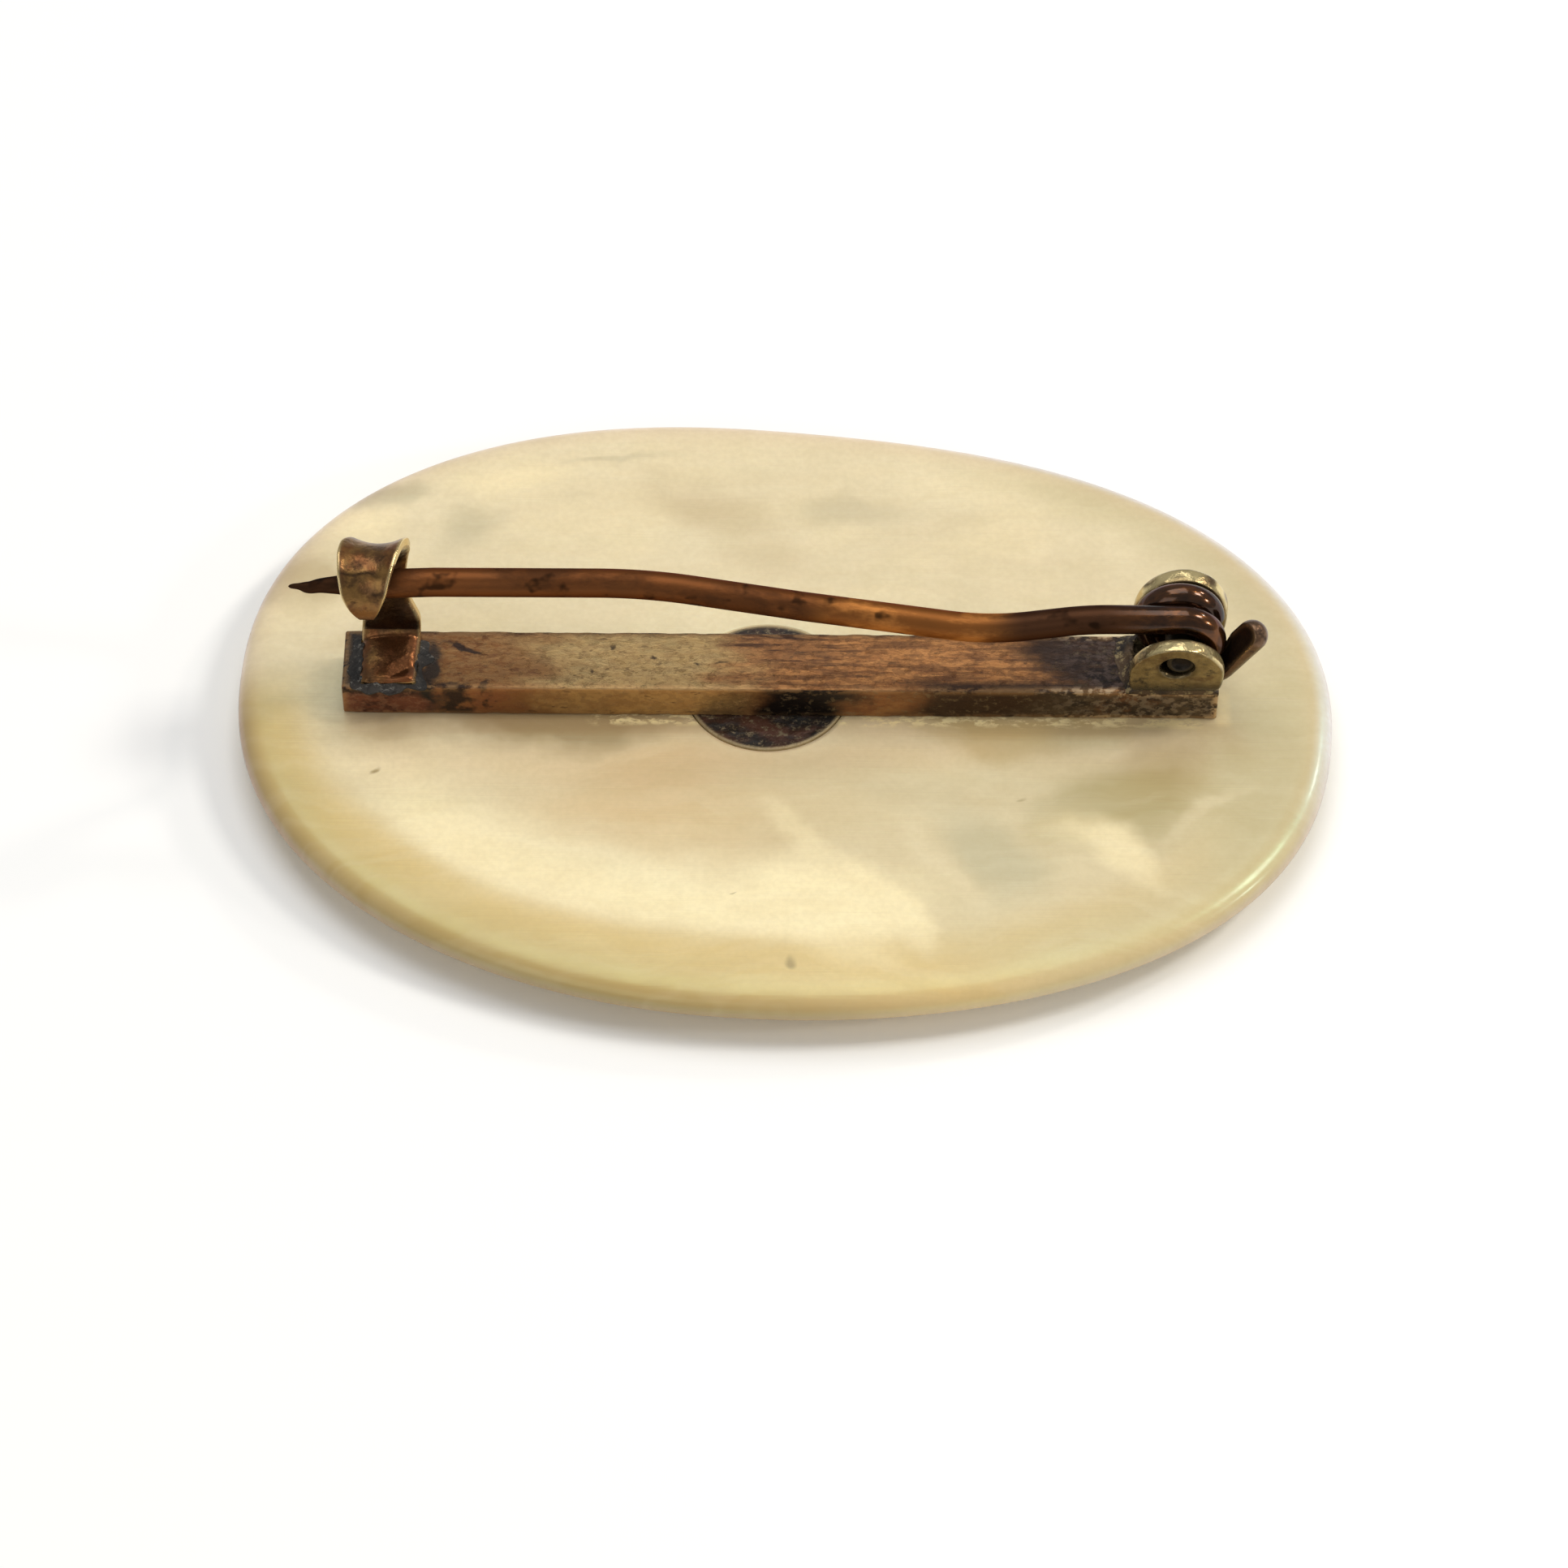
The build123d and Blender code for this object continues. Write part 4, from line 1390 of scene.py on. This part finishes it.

        # The edge mark is worn metal with a painted highlight, strongest on the outer face and
        # along the foot's right edge.
        edge = ease(0.86, 1.0, np.abs(share)) * (0.45 + 0.55 * (loop[:, 1] > -0.1))
        foot_edge = 0.15 + 0.85 * ease(0.2, 0.8, x)
        edge = edge * np.where(along[:, None] < foot_end, foot_edge, 1.0)
        # Painted shade on the strip's inner face, and a painted shade line across the lip where it
        # creases.
        inside = ease(0.5, 0.2, thick / self.wall + 0.5) * (along > foot_end + 0.5)[:, None]
        off = along[:, None] - starts[Stage.HOOK][0] - self.crease * starts[Stage.HOOK][1]
        off = (off - 0.08 * ripple(points, 0.9, 33)) / self.crease_width
        crease = np.exp(-(off**2)) * ease(0.4, -0.4, x) * (loop[:, 1] > 0)
        warm = on_foot * ease(-0.6, 0.2, x) + 0.7 * ease(1.0, 0.1, along[-1] - along)[:, None]
        marks = {"edge": edge, "shade": np.maximum(inside, crease), "warm": warm}
        make_piece("catch", [Grid(points, marks)], self.finish.material())

    def build_solder(self) -> None:
        """Builds the solder that has run out round the foot."""
        middle = np.array([HOOK_X, self.start_y]) + self.solder_offset
        grid = solder_ring(middle, self.solder_half, self.solder_rise, 41)
        make_piece("catch_solder", [grid], self.solder_finish.material())

    def build(self) -> None:
        """Builds the strip and its solder."""
        self.build_strip()
        self.build_solder()


@dataclass
class PinJoint:
    """Two arched ears on a base strip, the rivet through them, and the stop prong behind."""

    inner_at_coil: float = 1.12
    wall: float = 0.58
    lean: float = 7.0
    skew: float = 5.0
    half_width: float = 1.725
    arch: float = 1.12
    hole: float = 0.6
    foot_bend: float = 0.7
    rim_round: float = 0.2
    ear_wear: float = 0.012
    base_half: float = 1.1
    base_edge: float = 0.03
    base_sink: float = 0.05
    base_rise: float = 0.08
    base_setback: float = 0.3
    prong_radius: float = 0.575
    prong_aside: float = -0.445
    prong_reach: float = 1.1
    prong_rise: float = 2.15
    prong_flat: tuple[float, float, float] = (-0.74, -0.5, 0.44)
    prong_flat_depth: float = 0.33
    prong_clearance: float = 1.87
    grime_offset: tuple[float, float] = (-0.12, -0.05)
    grime_half: tuple[float, float] = (1.6, 1.26)
    grime_rise: float = 0.34
    grime_limit: float = 1.38
    ear_finish: SheetBrass = EAR_BRASS
    prong_finish: SheetBrass = PRONG_BRASS
    rivet_finish: SheetBrass = RIVET_BRASS
    grime_finish: Grime = JOINT_GRIME

    def ear(self, side: int) -> Grid:
        """One ear: a closed outline through the plate's wall, carried round the rivet's hole.

        The outer reach at each angle is the arch's circle above its spring, and the straight side
        or the bar's top below it.

        Args:
            side: Minus one for the ear at low Y, plus one for the other.

        Returns:
            Closed ring with the marks edge and shade.
        """
        angle = around(240)
        cos, sin = np.cos(angle), np.sin(angle)
        spring = self.arch - self.half_width
        arch = sin * spring + np.sqrt((sin * spring) ** 2 - spring**2 + self.half_width**2)
        straight = self.half_width / np.maximum(np.abs(cos), 1e-6)
        bottom = (JOINT[2] - BAR_TOP) / np.maximum(-sin, 1e-6)
        below = (straight**-5.0 + bottom**-5.0) ** (-1 / 5)
        outer = np.where(arch * sin > spring, arch, below)
        loop = rounded_loop(2.0, self.wall, self.rim_round, 26, 6)
        share, thick = (loop[:, :1] + 1) / 2, loop[:, 1:2]
        radial = self.hole + share * (outer - self.hole)
        height = radial * sin
        rise = JOINT[2] + height
        lean = math.radians(self.lean)
        inner = self.inner_at_coil + (height + COIL_RADIUS) * math.tan(lean)
        above = np.clip(rise - BAR_TOP, 0, self.foot_bend)
        bend = self.foot_bend - np.sqrt(self.foot_bend**2 - (self.foot_bend - above) ** 2)
        offset = inner + (thick + self.wall / 2) / math.cos(lean)
        y = side * (offset - bend * ease(-self.wall / 2, self.wall / 2, thick))
        x = radial * cos + y * math.tan(math.radians(self.skew))
        points = np.stack([JOINT[0] + x, JOINT[1] + y, rise], -1)
        points[..., 2] -= self.ear_wear * (1 + ripple(points, 0.8, 51))
        # The rim is worn metal with a painted highlight; the mark shade paints shade towards the
        # ear's foot and round the rivet's hole.
        rim = ease(0.93, 1.0, share) * ease(-1.2, -0.2, height)
        worn_and_glint = rim * ease(-0.7, 0.4, ripple(points, 1.0, 52))
        shade = ease(-0.7, -1.5, height) + 0.6 * ease(0.25, 0.0, share)
        return Grid(points, {"edge": worn_and_glint, "shade": np.clip(shade, 0, 1)}, wrap_rows=True)

    def build_ears(self) -> None:
        """Builds both ears and the thin base between them."""
        foot = np.array([*JOINT[:2], BAR_TOP])
        low = foot - [self.half_width, self.base_half, self.base_sink]
        high = foot + [self.half_width - self.base_setback, self.base_half, self.base_rise]
        base = rounded_block(low, high, self.base_edge, 24, 10)
        # The base between the ears is darkened all over as painted shade.
        base.marks["shade"] = np.ones(base.points.shape[:2])
        make_piece("joint_ears", [self.ear(-1), self.ear(1), base], self.ear_finish.material())

    def build_prong(self) -> None:
        """Builds the stop prong: a bent tube with a round end, flattened on the coil's side.

        Points beyond the flat's plane are moved back to it, and points too near the rivet are
        moved out, so that the coil stays clear.
        """
        out = np.array([-0.7, 0.0, self.prong_reach])
        up = np.array([0.19, 0.46, self.prong_rise])
        side = np.full(3, JOINT[1] + self.prong_aside)
        corners = np.stack([BAR_RIGHT + out, side, BAR_TOP + up], -1)
        route = even_steps(round_corners(corners, [self.prong_radius]), 60)
        t = np.linspace(0, math.pi / 2 * 0.97, 14)[1:]
        tip = unit(corners[2] - corners[1]) * self.prong_radius * np.sin(t)[:, None]
        radius = np.concatenate([np.ones(len(route)), np.cos(t)]) * self.prong_radius
        grid = tube(np.concatenate([route, corners[2] + tip]), radius, 48)
        normal = unit(np.array(self.prong_flat))
        beyond = np.maximum(0, (grid.points - corners[2]) @ normal - self.prong_flat_depth)
        grid.points -= beyond[..., None] * normal
        clear = np.linalg.norm(grid.points[..., [0, 2]] - JOINT[[0, 2]], axis=-1)
        push = np.maximum(0, self.prong_clearance - clear)
        push *= ease(0.0, 0.1, grid.points[..., 2] - BAR_TOP)
        outward = (grid.points - JOINT) * np.array([1, 0, 1])
        grid.points += (push / np.maximum(clear, 1e-6))[..., None] * outward
        # The flat is darkened as painted shade, with a lighter border along its edge.
        flat = ease(0.05, 0.2, beyond)
        grid.marks = {"edge": 0.3 * ease(0.0, 0.06, beyond) * (1 - flat), "shade": 0.8 * flat}
        make_piece("stop_prong", [grid], self.prong_finish.material())

    def build_rivet(self) -> None:
        """Builds the rivet: a turned profile with a shallow dimple in each end."""
        low, high = frame_box("hinge_rivet")
        radius, half, _ = (high - low) / 2
        share = np.array([0.08, 0.3, 0.5, 0.62, 0.7, 0.82, 0.92, 0.98, 1.0])
        dimple = np.array([0.16, 0.15, 0.12, 0.05, 0.0, 0.0, 0.02, 0.05, 0.09])
        body = np.linspace(-0.8, 0.8, 9) * half
        rings = np.concatenate([share, np.ones(len(body)), share[::-1]])
        along = JOINT[1] + np.concatenate([dimple - half, body, half - dimple[::-1]])
        points = turned(JOINT[[0, 2]], rings * radius, along, 64)[..., [0, 2, 1]]
        marks = {"edge": 0.12 * ease(0.6, 0.72, rings)[:, None], "shade": 0.0}
        material = self.rivet_finish.material()
        make_piece("rivet", [Grid(points, marks)], material, node="hinge_rivet")

    def build_grime(self) -> None:
        """Builds the solder and dirt round the base of the ears, kept on the bar."""
        middle = JOINT[:2] + self.grime_offset
        grid = solder_ring(middle, self.grime_half, self.grime_rise, 61)
        low = (-math.inf, JOINT[1] - self.grime_limit, -math.inf)
        high = (BAR_RIGHT - 0.01, JOINT[1] + self.grime_limit, math.inf)
        grid.points = np.clip(grid.points, low, high)
        make_piece("joint_grime", [grid], self.grime_finish.material())

    def build(self) -> None:
        """Builds the ears, the prong, the rivet and the dirt between them."""
        self.build_ears()
        self.build_prong()
        self.build_rivet()
        self.build_grime()


@dataclass
class PinWire:
    """The pin: a drawn-out point, the bent stem and the coil round the rivet.

    A bend is its share of the way from the joint to the hook and its rise, in thicknesses of the
    wire, above a straight pin. Bend radii are in thicknesses too. The taper is the wire's radius,
    as a share, at shares of the way to the tip. The dip is a depth with its share of that way and
    its width.
    """

    radius: float = 0.53
    half_step: float = 0.54
    level_run: float = 3.4
    bends: tuple[tuple[float, float], ...] = ((0.24, -0.9), (0.474, -0.12), (0.671, 0.67))
    bend_radii: tuple[float, ...] = (7.5, 7.5, 9.0, 15.0, 5.0)
    bend_before_hook: float = 1.9
    point_reach: float = 3.4
    point_droop: float = 0.18
    point_length: float = 2.9
    cut_round: float = 0.12
    dip: tuple[float, float, float] = (0.09, 0.74, 0.1)
    taper_places: tuple[float, ...] = (0.0, 0.2, 0.38, 0.6, 0.74, 0.8, 0.86, 0.94, 0.985, 1.0)
    taper: tuple[float, ...] = (1.0, 0.83, 0.64, 0.5, 0.42, 0.37, 0.23, 0.18, 0.14, 0.03)
    stations: int = 760
    finish: DrawnWire = DrawnWire()

    def corners(self) -> np.ndarray:
        """Lists the corners of the stem, from the coil's top to the point.

        Returns:
            Corner places in mm.
        """
        top = JOINT[2] + COIL_RADIUS
        start_y = JOINT[1] - self.half_step
        reach = JOINT[0] - HOOK_X
        level = self.level_run / reach
        place, rise = np.array(self.bends).T
        share = (place - level) / (1 - level)
        middle = [
            JOINT[0] - place * reach,
            start_y + share * (HOOK_Y - start_y),
            top + place * (HOOK_Z - top) + rise * 2 * self.radius,
        ]
        start = [[JOINT[0], start_y, top], [JOINT[0] - self.level_run, start_y, top]]
        x = np.array([self.bend_before_hook, -self.point_reach])
        droop = x * self.point_droop / self.point_reach
        end = [HOOK_X + x, np.full(2, HOOK_Y), HOOK_Z + droop]
        return np.concatenate([start, np.stack(middle, -1), np.stack(end, -1)])

    def coil(self) -> np.ndarray:
        """Coil's middle line: a near quarter turn, a slanting half turn and a far half turn.

        Returns:
            Points in mm.
        """
        t = np.linspace(0, math.pi, 90)[:, None]
        right, up, near = np.array([1.0, 0, 0]), np.array([0, 0, 1.0]), np.array([0, -1.0, 0])
        r, h = COIL_RADIUS, self.half_step
        quarter = JOINT + h * near + r * (np.cos(t / 2) * up + np.sin(t / 2) * right)
        slant = JOINT + np.cos(t) * (r * right + h * near) - np.sin(t) * math.hypot(r, h) * up
        far = JOINT - h * near + r * (np.sin(t) * up - np.cos(t) * right)
        return np.concatenate([quarter, slant[1:], far[1:]])

    def build(self) -> None:
        """Builds the wire from its tip, which is drawn down and dips, to its cut end."""
        stem = round_corners(self.corners(), [2 * self.radius * turn for turn in self.bend_radii])
        route = even_steps(np.concatenate([stem[::-1], self.coil()[1:]]), self.stations)
        along = running_length(route)
        share = 1 - along / self.point_length
        radius = self.radius * soften(np.interp(share, self.taper_places, self.taper), 3)
        radius[0] = 0.02 * self.radius
        left = np.clip((along[-1] - along) / self.cut_round, 0, 1)
        radius = radius * np.sqrt(1 - 0.6 * (1 - left) ** 2)
        depth, place, width = self.dip
        route[:, 2] -= depth * np.exp(-(((share - place) / width) ** 2))
        material = self.finish.material()
        make_piece("pin", [tube(route, radius, 40)], material, "pin", "pin_wire")


# Studio


@dataclass(frozen=True)
class Softbox:
    """A square area light on a sphere round the object, turned to it."""

    name: str
    azimuth: float
    elevation: float
    distance: float
    size: float
    power: float
    tint: str

    def build(self) -> None:
        """Puts the light in place."""
        light = bpy.data.lights.new(self.name, "AREA")
        light.shape = "SQUARE"
        light.size = self.size * MM
        light.energy = self.power
        light.color = linear(self.tint)[:3]
        lamp = bpy.data.objects.new(self.name, light)
        a, e = math.radians(self.azimuth), math.radians(self.elevation)
        back = Vector((math.sin(a) * math.cos(e), -math.cos(a) * math.cos(e), math.sin(e)))
        lamp.location = back * self.distance * MM
        lamp.rotation_euler = back.to_track_quat("Z", "Y").to_euler()
        bpy.context.scene.collection.objects.link(lamp)


@dataclass(frozen=True)
class Studio:
    """Floor, lights and the camera at the photograph's angle."""

    elevation: float = 50.573
    roll: float = 0.424
    distance: float = 200.0
    lens: float = 124.72
    sensor: float = 36.0
    target: tuple[float, float, float] = (-0.006, -2.222, 0.0)
    floor_size: float = 3000.0
    floor_tint: str = "#FBFBFA"
    ambient: float = 0.38
    lights: tuple[Softbox, ...] = (
        Softbox("overhead", 190, 74, 420, 300, 0.72, "#FFFFFF"),
        Softbox("key", 100, 48, 380, 80, 0.42, "#FFFBF2"),
        Softbox("right", 78, 24, 360, 32, 0.16, "#FFFAF0"),
        Softbox("spark", 122, 31, 360, 30, 0.17, "#FFF1E2"),
        Softbox("fill", -30, 35, 420, 240, 0.22, "#FFFFFF"),
    )

    def build_camera(self) -> None:
        """Puts the camera on the photograph's line of sight, rolled about it."""
        data = bpy.data.cameras.new("photo_camera")
        data.lens = self.lens
        data.sensor_width = self.sensor
        data.clip_start, data.clip_end = 0.01, 20.0
        e, roll = math.radians(self.elevation), math.radians(self.roll)
        back = Vector((0, -math.cos(e), math.sin(e)))
        right, up = Vector((1, 0, 0)), Vector((0, math.sin(e), math.cos(e)))
        across = right * math.cos(roll) + up * math.sin(roll)
        above = up * math.cos(roll) - right * math.sin(roll)
        camera = bpy.data.objects.new("photo_camera", data)
        turn = Matrix((across, above, back)).transposed().to_4x4()
        place = (Vector(self.target) + back * self.distance) * MM
        camera.matrix_world = Matrix.Translation(place) @ turn
        bpy.context.scene.collection.objects.link(camera)
        bpy.context.scene.camera = camera

    def build_floor(self) -> None:
        """Lays a floor of matt white card, which is plain and throws soft light back."""
        half = self.floor_size / 2 * MM
        mesh = bpy.data.meshes.new("floor")
        corners = [(-half, -half, 0), (half, -half, 0), (half, half, 0), (-half, half, 0)]
        mesh.from_pydata(corners, [], [(0, 1, 2, 3)])
        card = Surface("white_card").finish(self.floor_tint, [], [], {"Roughness": 0.9})
        mesh.materials.append(card)
        floor = bpy.data.objects.new("floor", mesh)
        bpy.context.scene.collection.objects.link(floor)

    def build(self) -> None:
        """Builds the camera, the floor, the lights and an even ambient light, shown as they are."""
        bpy.context.scene.view_settings.view_transform = "Standard"
        self.build_camera()
        self.build_floor()
        for light in self.lights:
            light.build()
        world = bpy.data.worlds.new("soft_white_room")
        bpy.context.scene.world = world
        world.use_nodes = True
        sky = world.node_tree.nodes["Background"]
        sky.inputs["Color"].default_value = linear("#FFFFFF")
        sky.inputs["Strength"].default_value = self.ambient


def main() -> None:
    """Builds the studio and every piece of the brooch."""
    logging.basicConfig(level=logging.INFO, format="%(name)s: %(message)s")
    for part in (Studio(), ShellPlaque(), BackBar(), Catch(), PinJoint(), PinWire()):
        part.build()


if __name__ == "__main__":
    main()
